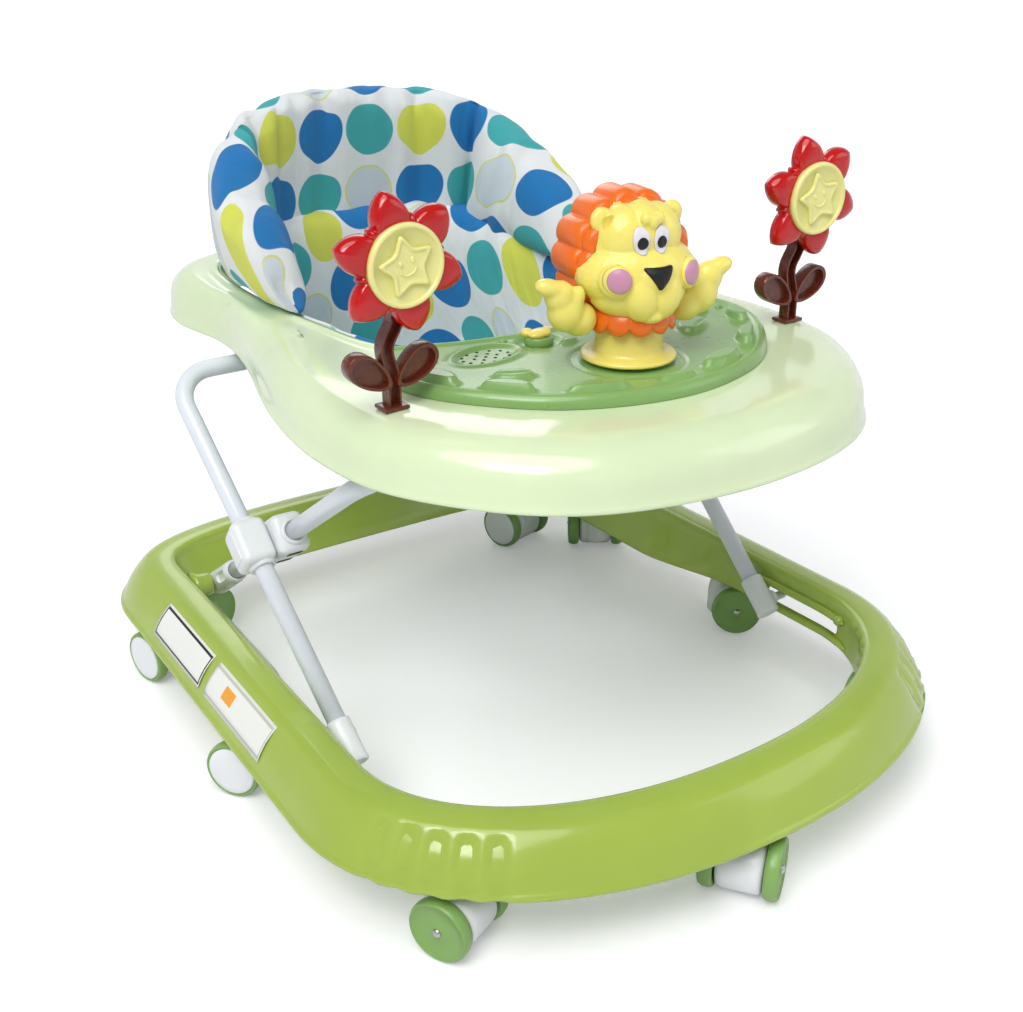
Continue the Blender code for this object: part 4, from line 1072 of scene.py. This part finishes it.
def lion_head():
    """The head: squared dome, wide jowls, a flat two-lobed muzzle, rimmed ears and a forelock."""
    lumps = [lump((0, 0.002, 0.088), (0.0385, 0.029, 0.031)),
             lump((0, -0.005, 0.067), (0.0475, 0.0350, 0.0275)),
             lump((0, -0.008, 0.052), (0.0375, 0.0315, 0.0205)),
             lump((0.0115, -0.006, 0.093), (0.0225, 0.0225, 0.0235)),
             lump((-0.0115, -0.006, 0.093), (0.0225, 0.0225, 0.0235)),
             lump((0, -0.007, 0.094), (0.0235, 0.0230, 0.0245)),
             lump((0, -0.028, 0.067), (0.0190, 0.0150, 0.0150)),
             lump((0.0095, -0.0295, 0.0535), (0.0145, 0.0130, 0.0190), (0, 14, 0)),
             lump((-0.0095, -0.0295, 0.0535), (0.0145, 0.0130, 0.0190), (0, -14, 0)),
             lump((0, -0.0300, 0.0390), (0.0105, 0.0090, 0.0062)),
             lump((0, -0.0275, 0.1068), (0.0048, 0.0042, 0.0058)),
             lump((0.0048, -0.0270, 0.1090), (0.0046, 0.0040, 0.0046), (0, 34, 0)),
             lump((-0.0048, -0.0270, 0.1090), (0.0046, 0.0040, 0.0046), (0, -34, 0))]
    for side in (-1, 1):
        lumps += [lump((side * 0.0285, -0.0050, 0.1055), (0.0092, 0.0056, 0.0100), (0, side * 24, 0)),
                  lump((side * 0.0310, -0.0300, 0.0672), (0.0122, 0.0056, 0.0122), (0, 0, side * 38))]
    head = melted("lion_face", lumps, 0.00085, 3)
    dishes = [lump((side * 0.0285, -0.0130, 0.1057), (0.0062, 0.0032, 0.0068), (0, side * 24, 0))
              for side in (-1, 1)]
    carve(head, *dishes)
    return lion_piece(head, "yellow", "yellow_plastic", "lion_head")


def on_face(head_mesh_tree, x, z):
    """The point of the face, in the lion's frame, straight ahead of (x, z)."""
    hit = head_mesh_tree.ray_cast(Vector((x, -0.12, z)), Vector((0, 1, 0)))
    return hit[0], hit[1]


def decal(name, tree, outline, lift, thickness, crown=0.0):
    """A thin raised shape laid on the face along -Y, from an outline around its own middle."""
    centre = sum((Vector(point) for point in outline), Vector((0, 0))) / len(outline)
    rows = []
    for share in (1.0, 0.97, 0.85, 0.6, 0.3):
        line = []
        for x, z in outline:
            px = centre.x + (x - centre.x) * share
            pz = centre.y + (z - centre.y) * share
            point, _ = on_face(tree, px, pz)
            rise = lift + crown * (1 - share ** 2) + (0 if share == 1.0 else thickness)
            line.append(point - Vector((0, rise, 0)))
        rows.append(line)
    skin = grid(name, rows, close_columns=True)
    bm = bmesh.new()
    bm.from_mesh(skin.data)
    bmesh.ops.holes_fill(bm, edges=[e for e in bm.edges if e.is_boundary], sides=len(outline))
    bmesh.ops.recalc_face_normals(bm, faces=bm.faces)
    bm.to_mesh(skin.data)
    bm.free()
    return skin


def oval(x, z, rx, rz, count=40, turn=0.0):
    angle = math.radians(turn)
    points = []
    for k in range(count):
        a = 2 * math.pi * k / count
        u, v = rx * math.cos(a), rz * math.sin(a)
        points.append((x + u * math.cos(angle) - v * math.sin(angle),
                       z + u * math.sin(angle) + v * math.cos(angle)))
    return points


def rounded_triangle(x, z, half_width, height, soft=0.0022, steps=7):
    """A triangle on its point with rounded corners, anticlockwise."""
    top = z + height * 0.42
    corners = [(x - half_width, top), (x, z - height * 0.58), (x + half_width, top)]
    points = []
    for k in range(3):
        here = Vector(corners[k])
        back = (Vector(corners[k - 1]) - here).normalized()
        ahead = (Vector(corners[(k + 1) % 3]) - here).normalized()
        for step in range(steps + 1):
            t = step / steps
            a, b = here + back * soft * 1.6, here + ahead * soft * 1.6
            points.append(tuple(a * (1 - t) ** 2 + here * 2 * t * (1 - t) + b * t ** 2))
        points += [tuple(Vector(points[-1]).lerp(Vector(corners[(k + 1) % 3]) - ahead * soft * 1.6, t))
                   for t in (0.25, 0.5, 0.75)]
    return points


def lion_face_details():
    """Eyes, pupils, nose and the round pink cheeks."""
    head = bpy.data.objects["lion_face"]
    inverse = lion_place().inverted()
    bm = bmesh.new()
    bm.from_mesh(head.data)
    bm.transform(inverse)
    tree = BVHTree.FromBMesh(bm)
    bm.free()
    def on(name, outline, lift, thickness, crown, material, slot):
        lion_piece(decal(name, tree, outline, lift, thickness, crown), material, slot)

    for side, word in SIDES:
        eye_x, eye_z = side * 0.0082 - 0.0015, NOSE.z + 0.0250
        on("lion_eye_" + word, oval(eye_x, eye_z, 0.0066, 0.0100, turn=side * -6),
           0.0002, 0.0010, 0.0012, "eye_white", "white_plastic")
        on("lion_pupil_" + word, oval(eye_x - side * 0.0004, eye_z - 0.0018, 0.0042, 0.0045),
           0.0020, 0.0006, 0.0006, "black", "white_plastic")
        cheek_x, cheek_z = side * 0.0302, NOSE.z - 0.0006
        on("lion_cheek_rim_" + word, oval(cheek_x, cheek_z, 0.0100, 0.0108),
           0.0001, 0.0009, 0.0002, "yellow", "yellow_plastic")
        on("lion_cheek_" + word, oval(cheek_x, cheek_z, 0.0084, 0.0092),
           0.0009, 0.0006, 0.0004, "pink", "yellow_plastic")
    on("lion_nose", rounded_triangle(0, NOSE.z, 0.0130, 0.0180), 0.0002, 0.0012, 0.0012,
       "black", "yellow_plastic")


def mane_tier(front, back, radius, bite):
    """One tier of the mane: a thick rim of rounded locks, each parted by a crease."""
    count = 300
    section = [(front + 0.004, 0.70, 0.0), (front, 0.84, 0.5), (front + 0.0010, 0.94, 1.0),
               (front + 0.0045, 0.99, 1.0), (front + 0.0090, 1.0, 1.0), (back - 0.0060, 1.0, 1.0),
               (back - 0.0020, 0.975, 1.0), (back, 0.92, 0.8), (back - 0.0005, 0.70, 0.2)]
    rows = []
    for depth, share, cut in section:
        line = []
        for k in range(count):
            angle = 2 * math.pi * k / count
            lobe = abs(math.sin(MANE_LOCKS * angle / 2)) ** 0.6
            reach = radius * share - bite * cut * (1 - lobe)
            line.append((reach * math.cos(angle), depth, max(MANE_Z + reach * math.sin(angle), 0.0345)))
        rows.append(line)
    return grid("tier", rows, close_columns=True, cap_rows=True)


def lion_mane():
    """The mane: a front row of locks close round the face and a larger row behind it."""
    tiers = [mane_tier(-0.0100, 0.0100, 0.0462, 0.0045),
             mane_tier(-0.0020, 0.0350, 0.0510, 0.0055)]
    mane = joined("lion_mane_locks", tiers)
    return lion_piece(mane, "orange", "orange_plastic", "lion_mane")


def lion_paws():
    """Two raised mittens, each with a thumb and a cuff."""
    for side, word in SIDES:
        lumps = [lump((side * 0.0455, -0.0040, 0.0350), (0.0140, 0.0125, 0.0130)),
                 lump((side * 0.0570, -0.0060, 0.0425), (0.0145, 0.0125, 0.0155)),
                 lump((side * 0.0630, -0.0070, 0.0545), (0.0118, 0.0100, 0.0122)),
                 lump((side * 0.0715, -0.0076, 0.0618), (0.0122, 0.0082, 0.0070), (0, side * -16, 0)),
                 lump((side * 0.0510, -0.0105, 0.0530), (0.0064, 0.0062, 0.0095), (0, side * -18, 0))]
        lion_piece(melted("lion_mitt_" + word, lumps, 0.0011, 26), "yellow", "yellow_plastic",
                   "lion_paw_" + word)


def lion_foot():
    """Round base with its neck, and the scalloped collar."""
    base = lathe("lion_stand", [(0, 0.0350), (0.0250, 0.0350), (0.0256, 0.0150), (0.0262, 0.0068),
                                (0.0282, 0.0042), (0.0344, 0.0034), (0.0362, 0.0026), (0.0366, 0.0012),
                                (0.0360, 0.0001), (0, 0.0001)], steps=96)
    lion_piece(base, "yellow", "yellow_plastic", "lion_base")
    rows = []
    count, scallops = 192, 12
    for radius, height, drop in ((0.0200, 0.0430, 0), (0.0270, 0.0425, 0), (0.0315, 0.0400, 0.2),
                                 (0.0336, 0.0350, 0.6), (0.0340, 0.0305, 1.0), (0.0330, 0.0290, 1.0),
                                 (0.0310, 0.0310, 0.8), (0.0230, 0.0330, 0), (0.0200, 0.0330, 0)):
        line = []
        for k in range(count):
            angle = 2 * math.pi * k / count
            lobe = abs(math.sin(scallops * angle / 2)) ** 0.6
            reach = radius * (1 + 0.05 * drop * (lobe - 0.5))
            line.append((reach * math.cos(angle), reach * math.sin(angle), height - 0.0050 * drop * lobe))
        rows.append(line)
    collar = grid("lion_ruff", rows, close_rows=True, close_columns=True)
    lion_piece(collar, "orange", "orange_plastic", "lion_collar")


# ---- flowers -----------------------------------------------------------------------------------
def petal_reach(angle):
    """Radius of the flower's outline: six pointed petals with a small lobe between each pair."""
    phase = (angle / (math.pi / 3)) % 1.0
    from_tip = abs(phase - round(phase)) * 2
    petal = max(0.0, 1 - (from_tip / 0.84) ** 1.25) ** 0.72
    lobe = math.exp(-((from_tip - 1.0) / 0.14) ** 2)
    return 0.0312 + 0.0188 * petal + 0.0030 * lobe


def flower_head(side, word):
    """Glossy inflated petals round a pale disc with a raised smiling star."""
    joint = JOINTS["flower_spin_" + word]
    centre = Vector(joint["pos_m"])
    turn = (Matrix.Rotation(math.radians(-FLOWER_TURN), 4, "Y")
            @ Matrix.Rotation(math.radians(90), 4, "X"))
    place = Matrix.Translation(centre) @ turn
    count = 360
    rows = []
    for share, rise in ((1.0, -0.0050), (1.0, -0.0015), (0.985, 0.0008), (0.95, 0.0026), (0.88, 0.0042),
                        (0.78, 0.0052), (0.66, 0.0055), (0.5, 0.0052), (0.3, 0.0048), (0.05, 0.0048)):
        line = []
        for k in range(count):
            angle = 2 * math.pi * k / count
            reach = petal_reach(angle) * share
            crown = 0.0016 * smoothstep(0.026, 0.036, np.array(reach)) if rise > 0.002 else 0.0
            line.append((reach * math.sin(angle), reach * math.cos(angle), rise + float(crown)))
        rows.append(line)
    petals = grid("petals_" + word, rows, close_columns=True, cap_rows=True)
    body = "flower_head_" + word
    finish(move(petals, place), "red", body, "red_plastic", "flower_petals_" + word)
    disc = lathe("disc", [(0, 0.0080), (0.0246, 0.0080), (0.0252, 0.0094), (0.0262, 0.0104),
                          (0.0278, 0.0102), (0.0288, 0.0088), (0.0290, 0.0050), (0, 0.0050)], steps=96)
    finish(move(disc, place), "pale_yellow", body, "yellow_plastic", "flower_face_" + word)
    star = []
    for k in range(10):
        reach = STAR_TIP if k % 2 == 0 else STAR_DIP
        angle = 2 * math.pi * k / 10
        star.append(Vector((reach * math.sin(angle), reach * math.cos(angle), 0)))
    path = []
    for k in range(10):
        before, here, after = star[k - 1], star[k], star[(k + 1) % 10]
        for step in range(6):
            t = step / 5
            a, b = here.lerp(before, 0.28), here.lerp(after, 0.28)
            path.append(a * (1 - t) ** 2 + here * 2 * t * (1 - t) + b * t ** 2)
    rows = []
    for share, rise in ((1.0, 0.0076), (0.97, 0.0098), (0.91, 0.0107), (0.82, 0.0107), (0.77, 0.0097)):
        rows.append([(p.x * share, p.y * share, rise) for p in path])
    rows.append([(p.x * 0.60, p.y * 0.60, 0.0096) for p in path])
    star_skin = grid("star", rows, close_columns=True, cap_rows=True)
    pieces = [star_skin]
    for eye in (-1, 1):
        pieces.append(lump((eye * 0.0048, 0.0030, 0.0096), (0.0017, 0.0024, 0.0012), around=20, up=12))
    smile = [Vector((0.0066 * math.sin(a), -0.0006 - 0.0055 * math.cos(a), 0.0098))
             for a in np.linspace(-1.25, 1.25, 15)]
    pieces.append(sweep("smile", smile, circle(0.0008, 10), (0, 0, 1)))
    finish(move(joined("star_face_" + word, pieces), place), "pale_yellow", body, "yellow_plastic")


def flower_stem(side, word):
    """A channelled stem with two hollow leaves, standing in a ferrule, and its pivot stub."""
    joint = JOINTS["flower_spin_" + word]
    top = Vector(joint["pos_m"])
    ground = Vector((side * FLOWER_X, FLOWER_Y, TRAY_TOP_Z))
    knots = [(0, 0.000), (0, 0.010), (0, 0.020), (-0.0010, 0.028), (-0.0040, 0.037), (-0.0052, 0.044),
             (-0.0035, 0.051), (0.0005, 0.057), (0.0030, 0.062), (0.0040, 0.068), (0.0040, 0.080),
             (0.0040, 0.104)]
    xs, zs = zip(*knots)
    steps = np.linspace(0, len(knots) - 1, 60)
    line = [(np.interp(s, range(len(knots)), xs), np.interp(s, range(len(knots)), zs)) for s in steps]
    for _ in range(4):
        line = [line[0]] + [((a[0] + 2 * b[0] + c[0]) / 4, (a[1] + 2 * b[1] + c[1]) / 4)
                            for a, b, c in zip(line, line[1:], line[2:])] + [line[-1]]
    path = [ground + Vector((sway, 0, rise)) for sway, rise in line]
    half, depth, wall = 0.0050, 0.0050, 0.0014
    channel = [(-half, -depth), (half, -depth), (half, depth), (half - wall, depth),
               (half - wall, -0.0008), (-half + wall, -0.0008), (-half + wall, depth), (-half, depth)]
    stem = sweep("stem", path, [(a, -b) for a, b in channel], (0, 1, 0))
    ferrule = round_box("ferrule", (0.0200, 0.0165, 0.0030), 0.0010, ground + Vector((0, 0, 0.0018)))
    stub = lathe("stub", [(0, 0.0005), (0.0050, 0.0), (0.0050, -0.0060), (0.0030, -0.0062),
                          (0.0030, -0.0120), (0, -0.0120)], Vector((top.x, FLOWER_Y, top.z)), (0, 1, 0), 28)
    pieces = [stem, ferrule, stub]
    for lean in (-1, 1):
        pieces.append(leaf(ground + Vector((lean * 0.0030, 0, 0.0180)), lean))
    made = joined("stem_" + word, pieces)
    finish(made, "brown", "tray", "brown_plastic", "flower_stem_" + word, smooth=False)
    made.data.shade_smooth()
    made.data.set_sharp_from_angle(angle=math.radians(35))


LEAF_HALF = 0.0190


def leaf(root, lean):
    """One hollow leaf: a rounded band with a thin web across its middle."""
    outline = []
    for k in range(48):
        a = 2 * math.pi * k / 48
        along = LEAF_HALF * (1 + math.cos(a))
        width = 0.0104 * math.sin(a) * (1 + 0.25 * math.cos(a))
        outline.append(Vector((along, 0, width)))
    tilt = Matrix.Rotation(math.radians(-36), 3, "Y")
    rows = []
    for y, share in ((-0.0058, 1.0), (-0.0050, 1.03), (0.0050, 1.03), (0.0058, 1.0), (0.0056, 0.84),
                     (0.0006, 0.84), (0.0006, 0.02)):
        middle = Vector((LEAF_HALF, 0, 0))
        rows.append([tilt @ (middle + (p - middle) * share) + Vector((0, y, 0)) for p in outline])
    back = []
    for y, share in ((-0.0058, 1.0), (-0.0056, 0.84), (-0.0006, 0.84), (-0.0006, 0.02)):
        back.append([tilt @ (middle + (p - middle) * share) + Vector((0, y, 0)) for p in outline])
    skins = [grid("leaf_front", rows, close_columns=True), grid("leaf_back", back, close_columns=True)]
    made = joined("leaf", skins)
    flip = Matrix.Diagonal((lean, 1, 1, 1))
    return move(made, Matrix.Translation(root) @ flip)


# ---- seat --------------------------------------------------------------------------------------
def cloth_uv(obj, table):
    """Give the cloth its printed coordinates in metres, one pair for each vertex."""
    layer = obj.data.uv_layers.new(name="cloth")
    for loop in obj.data.loops:
        layer.data[loop.index].uv = table[loop.vertex_index]


def puff(obj, pressure, limit, frames=20, stiffness=12.0):
    """Blow the cloth up gently by simulation, hold each point within a limit, and keep the result."""
    start = np.array([vertex.co[:] for vertex in obj.data.vertices])
    mod = obj.modifiers.new("cloth", "CLOTH")
    settings = mod.settings
    settings.quality = 5
    settings.mass = 0.2
    settings.use_pressure = True
    settings.uniform_pressure_force = pressure
    settings.tension_stiffness = stiffness
    settings.compression_stiffness = stiffness
    settings.shear_stiffness = 4.0
    settings.bending_stiffness = 0.4
    settings.effector_weights.gravity = 0.0
    mod.point_cache.frame_start = 1
    mod.point_cache.frame_end = frames
    scene = bpy.context.scene
    for number in range(1, frames + 1):
        scene.frame_set(number)
    graph = bpy.context.evaluated_depsgraph_get()
    result = obj.evaluated_get(graph).to_mesh()
    after = np.array([vertex.co[:] for vertex in result.vertices])
    obj.evaluated_get(graph).to_mesh_clear()
    obj.modifiers.remove(mod)
    scene.frame_set(1)
    shift = after - start
    length = np.linalg.norm(shift, axis=1)
    scale = np.minimum(1.0, limit / np.maximum(length, 1e-9))
    for vertex, place in zip(obj.data.vertices, start + shift * scale[:, None]):
        vertex.co = place
    obj.data.update()
    return obj


def back_point(share, up, offset=0.0):
    """A point of the backrest: share runs -1 to 1 round it, up runs 0 to 1 from foot to rim."""
    bearing = BACK_SPAN * share
    top = BACK_FOOT_Z + BACK_RISE * max(0.0, math.cos(share * math.pi / 2 * 0.985)) ** 0.52
    half_width = 0.148 + 0.014 * up - offset
    reach = 0.158 - 0.020 * up - offset
    power = 0.74 + 0.12 * up
    x = half_width * math.copysign(abs(math.sin(bearing)) ** power, bearing)
    y = BACK_CENTRE_Y + reach * math.copysign(abs(math.cos(bearing)) ** power, math.cos(bearing))
    return Vector((x, y, BACK_FOOT_Z + (top - BACK_FOOT_Z) * up))


def wing(share):
    """0 on the flat of the back, 1 on the padded wings."""
    return float(smoothstep(0.47, 0.60, abs(share)))


def gather(share, up):
    """Depth of the vertical gathers of the cover, deepest near its seams."""
    waves = (math.sin(share * 37.0 + 0.8) * 0.6 + math.sin(share * 61.0 + 2.1) * 0.4
             + math.sin(share * 19.0 + 0.3) * 0.5)
    return 0.0040 * waves * (0.30 + 0.9 * (1 - up) ** 3 + 0.75 * up ** 2)


HEM_FLARE = 0.0170               # how far the cover's outer hem spreads over the opening's rim


def backrest():
    """The padded back with its two rolled wings, under one continuous cover."""
    columns, around = 168, 60
    rows = []
    for column in range(columns + 1):
        share = -1 + 2 * column / columns
        roll = wing(share)
        end = min(1.0, (1 - abs(share)) / 0.16)
        end = math.sqrt(max(0.0, 1 - (1 - end) ** 2))
        inward = (0.0105 + 0.0185 * roll) * max(end, 0.10)
        outward = (0.0085 + 0.0125 * roll) * max(end, 0.10)
        crease = math.exp(-((abs(share) - 0.485) / 0.016) ** 2)
        line = []
        for k in range(around):
            angle = -math.pi / 2 + 2 * math.pi * k / around
            s, c = math.sin(angle), math.cos(angle)
            power = 2 / (4.2 - 1.4 * roll)
            up = 0.5 + 0.5 * math.copysign(abs(s) ** power, s)
            offset = math.copysign(abs(c) ** power, c) * (inward if c > 0 else outward)
            if c > 0:
                offset += (gather(share, up) - 0.0085 * crease) * min(1.0, 3 * c) * end
            else:
                offset += 0.4 * gather(share, up) * end
                offset -= HEM_FLARE * (1 - up) ** 3 * -c * end * (1 - roll)
            low = 0.0 if c > 0 else 0.03
            line.append(back_point(share, low + (1 - low) * up, offset))
        rows.append(line)
    cover = grid("seat_back_cover", rows, close_columns=True, cap_rows=True)
    points = np.array(rows)
    middle = points[:, around // 4]
    along = np.r_[0.0, np.cumsum(np.linalg.norm(np.diff(middle, axis=0), axis=1))]
    along -= along[len(along) // 2]
    steps = np.linalg.norm(np.diff(points, axis=1), axis=2)
    climb = np.c_[np.zeros(len(points)), np.cumsum(steps, axis=1)]
    climb -= climb[:, around // 2:around // 2 + 1]
    top = points[:, around // 2, 2:]
    table = np.stack([np.repeat(along[:, None], around, axis=1), climb + top], axis=2).reshape(-1, 2)
    cloth_uv(cover, table + (0.003, -0.008))
    puff(cover, 3.0, 0.006)
    finish(cover, dotted_fabric(), "tray", "dotted_fabric", "seat_back", subdivide=1)


def sling_row(level, count):
    """One loop of the sling: the opening inset and scaled, drawn in behind to the backrest."""
    scale, inward, height, up, offset, hug = level
    loop = soft_loop(closed_from_half(evenly(opening_half(), count)), 4)
    middle = np.array([0.0, SEAT_CENTRE_Y])
    plain = middle + (inset(loop, inward) - middle) * scale
    points = []
    for k, (x, y) in enumerate(plain):
        share = math.atan2(loop[k][0], loop[k][1] - BACK_CENTRE_Y) / BACK_SPAN
        weight = hug * float(1 - smoothstep(0.72, 0.98, abs(share)))
        turn = k * 2 * math.pi / len(loop)
        ripple = math.sin(turn * 17) + 0.6 * math.sin(turn * 29)
        pleat = 0.0013 * ripple * min(1.0, scale)
        rear = back_point(max(-1.0, min(1.0, share)), max(0.0, up), offset + pleat)
        rise = rear.z if up >= 0 else BACK_FOOT_Z + up * 0.15
        outward = Vector((x, y - SEAT_CENTRE_Y)).normalized() * pleat
        front = Vector((x + outward.x, y + outward.y, height))
        points.append(front.lerp(Vector((rear.x, rear.y, rise)), weight))
    return points


# scale, inset and height of each loop of the sling; then its share of the backrest's height, its depth
# from the backrest and how far it follows it
SLING_LEVELS = (
    (1.0, 0.0065, 0.3655, 0.235, 0.0060, 1.0),
    (1.0, 0.0075, 0.3600, 0.228, 0.0150, 1.0),
    (1.0, 0.0085, 0.3520, 0.195, 0.0245, 1.0),
    (0.995, 0.0090, 0.3420, 0.120, 0.0300, 1.0),
    (0.990, 0.0095, 0.3300, 0.020, 0.0335, 1.0),
    (0.980, 0.0095, 0.3160, -0.160, 0.0365, 0.95),
    (0.965, 0.0100, 0.2980, -0.350, 0.0400, 0.85),
    (0.930, 0.0100, 0.2700, -0.620, 0.0450, 0.60),
    (0.860, 0.0100, 0.2450, -0.800, 0.0500, 0.30),
    (0.740, 0.0100, 0.2230, -0.95, 0.0500, 0.0),
    (0.580, 0.0100, 0.2070, -1, 0.05, 0.0),
    (0.400, 0.0100, 0.1985, -1, 0.05, 0.0),
    (0.200, 0.0100, 0.1955, -1, 0.05, 0.0),
    (0.020, 0.0100, 0.1950, -1, 0.05, 0.0),
)


def sling():
    """The hanging seat: a padded bowl of the same cloth with two bound leg holes."""
    rows = [sling_row(level, 101) for level in SLING_LEVELS]
    count = len(rows[0])
    bowl = grid("seat_sling_cover", rows, close_columns=True)
    points = np.array(rows)
    climb = np.cumsum(np.linalg.norm(np.diff(points, axis=0), axis=2), axis=0)
    climb = np.r_[np.zeros((1, count)), climb]
    bearing = np.arctan2(points[0, :, 0], points[0, :, 1] - SEAT_CENTRE_Y)
    u = np.repeat((bearing * 0.150)[None], len(rows), axis=0) * (0.35 + 0.65 * np.array(
        [level[0] for level in SLING_LEVELS])[:, None])
    v = 0.404 - climb
    turned = np.stack([u * 0.88 + v * 0.47, v * 0.88 - u * 0.47], axis=2).reshape(-1, 2)
    cloth_uv(bowl, turned)
    thick = bowl.modifiers.new("cloth_thickness", "SOLIDIFY")
    thick.thickness = 0.0040
    thick.offset = 0.0
    sub = bowl.modifiers.new("smooth", "SUBSURF")
    sub.levels = 1
    sub.render_levels = 1
    apply_modifiers(bowl)
    cutters = []
    for side, word in SIDES:
        start = Vector((side * 0.045, SEAT_CENTRE_Y - 0.02, 0.262))
        end = Vector((side * 0.105, SEAT_CENTRE_Y - 0.30, 0.235))
        cutters.append(pipe("leg_cut_" + word, [start, start.lerp(end, 0.5), end], LEG_HOLE_R, 64))
    carve(bowl, *cutters)
    finish(bowl, dotted_fabric(), "tray", "dotted_fabric", "seat_sling")


# ---- stage -------------------------------------------------------------------------------------
FLOOR_LIFT = 0.20                # light added to the floor as the camera sees it, not as it shines


def stage():
    """A pale round floor that curves up at its edge, soft lights and the camera."""
    floor = lathe("floor", [(0, 0), (2.0, 0), (4.0, 0), (4.6, 0.10), (5.1, 0.45), (5.4, 1.1),
                            (5.6, 3.5)])
    made = bpy.data.materials.new("pale_floor")
    made.use_nodes = True
    shader = made.node_tree.nodes["Principled BSDF"]
    shader.inputs["Base Color"].default_value = (0.90, 0.90, 0.91, 1)
    shader.inputs["Roughness"].default_value = 0.55
    shader.inputs["Emission Color"].default_value = (1, 1, 1, 1)
    rays = made.node_tree.nodes.new("ShaderNodeLightPath")
    lift = math_node(made.node_tree, "MULTIPLY", rays.outputs["Is Camera Ray"], FLOOR_LIFT)
    made.node_tree.links.new(lift, shader.inputs["Emission Strength"])
    floor.data.materials.append(made)
    floor.data.shade_smooth()
    world = bpy.data.worlds.new("studio")
    world.use_nodes = True
    world.node_tree.nodes["Background"].inputs["Color"].default_value = (0.93, 0.96, 1.0, 1)
    world.node_tree.nodes["Background"].inputs["Strength"].default_value = 0.24
    bpy.context.scene.world = world
    sun = bpy.data.lights.new("overhead", "SUN")
    sun.energy = 1.75
    sun.angle = math.radians(50)
    sky = bpy.data.objects.new("overhead", sun)
    bpy.context.scene.collection.objects.link(sky)
    sky.rotation_euler = Vector((0.42, 0.30, -1.0)).to_track_quat("-Z", "Y").to_euler()
    for name, at, size, power in (("key", (-1.6, -1.2, 2.2), 1.0, 20),
                                  ("fill", (1.8, -1.6, 1.6), 1.4, 7),
                                  ("rim", (0.8, 2.0, 1.6), 1.2, 8)):
        data = bpy.data.lights.new(name, "AREA")
        data.shape = "SQUARE"
        data.size = size
        data.energy = power
        lamp = bpy.data.objects.new(name, data)
        bpy.context.scene.collection.objects.link(lamp)
        lamp.location = at
        lamp.rotation_euler = (Vector((0, 0, 0.25)) - Vector(at)).to_track_quat("-Z", "Y").to_euler()
    camera = bpy.data.cameras.new("camera")
    camera.lens = LENS_MM
    camera.sensor_width = SENSOR_MM
    camera.clip_end = 30.0
    view = bpy.data.objects.new("camera", camera)
    bpy.context.scene.collection.objects.link(view)
    view.location = CAMERA_PLACE
    level = math.cos(CAMERA_ELEVATION)
    aim = Vector((-math.sin(CAMERA_AZIMUTH) * level, math.cos(CAMERA_AZIMUTH) * level,
                  -math.sin(CAMERA_ELEVATION)))
    view.rotation_euler = aim.to_track_quat("-Z", "Y").to_euler()
    bpy.context.scene.camera = view


def build():
    bpy.context.scene.view_settings.view_transform = "Standard"
    stage()
    base_ring()
    label("label_rear", 0.050, 0.165, False)
    label("label_front", -0.080, 0.044, True)
    for name, heading in CASTERS.items():
        caster(name, heading)
    folding_frame()
    tray()
    toy_panel()
    lion_foot()
    lion_head()
    lion_face_details()
    lion_mane()
    lion_paws()
    for side, word in SIDES:
        flower_stem(side, word)
        flower_head(side, word)
    backrest()
    sling()


build()
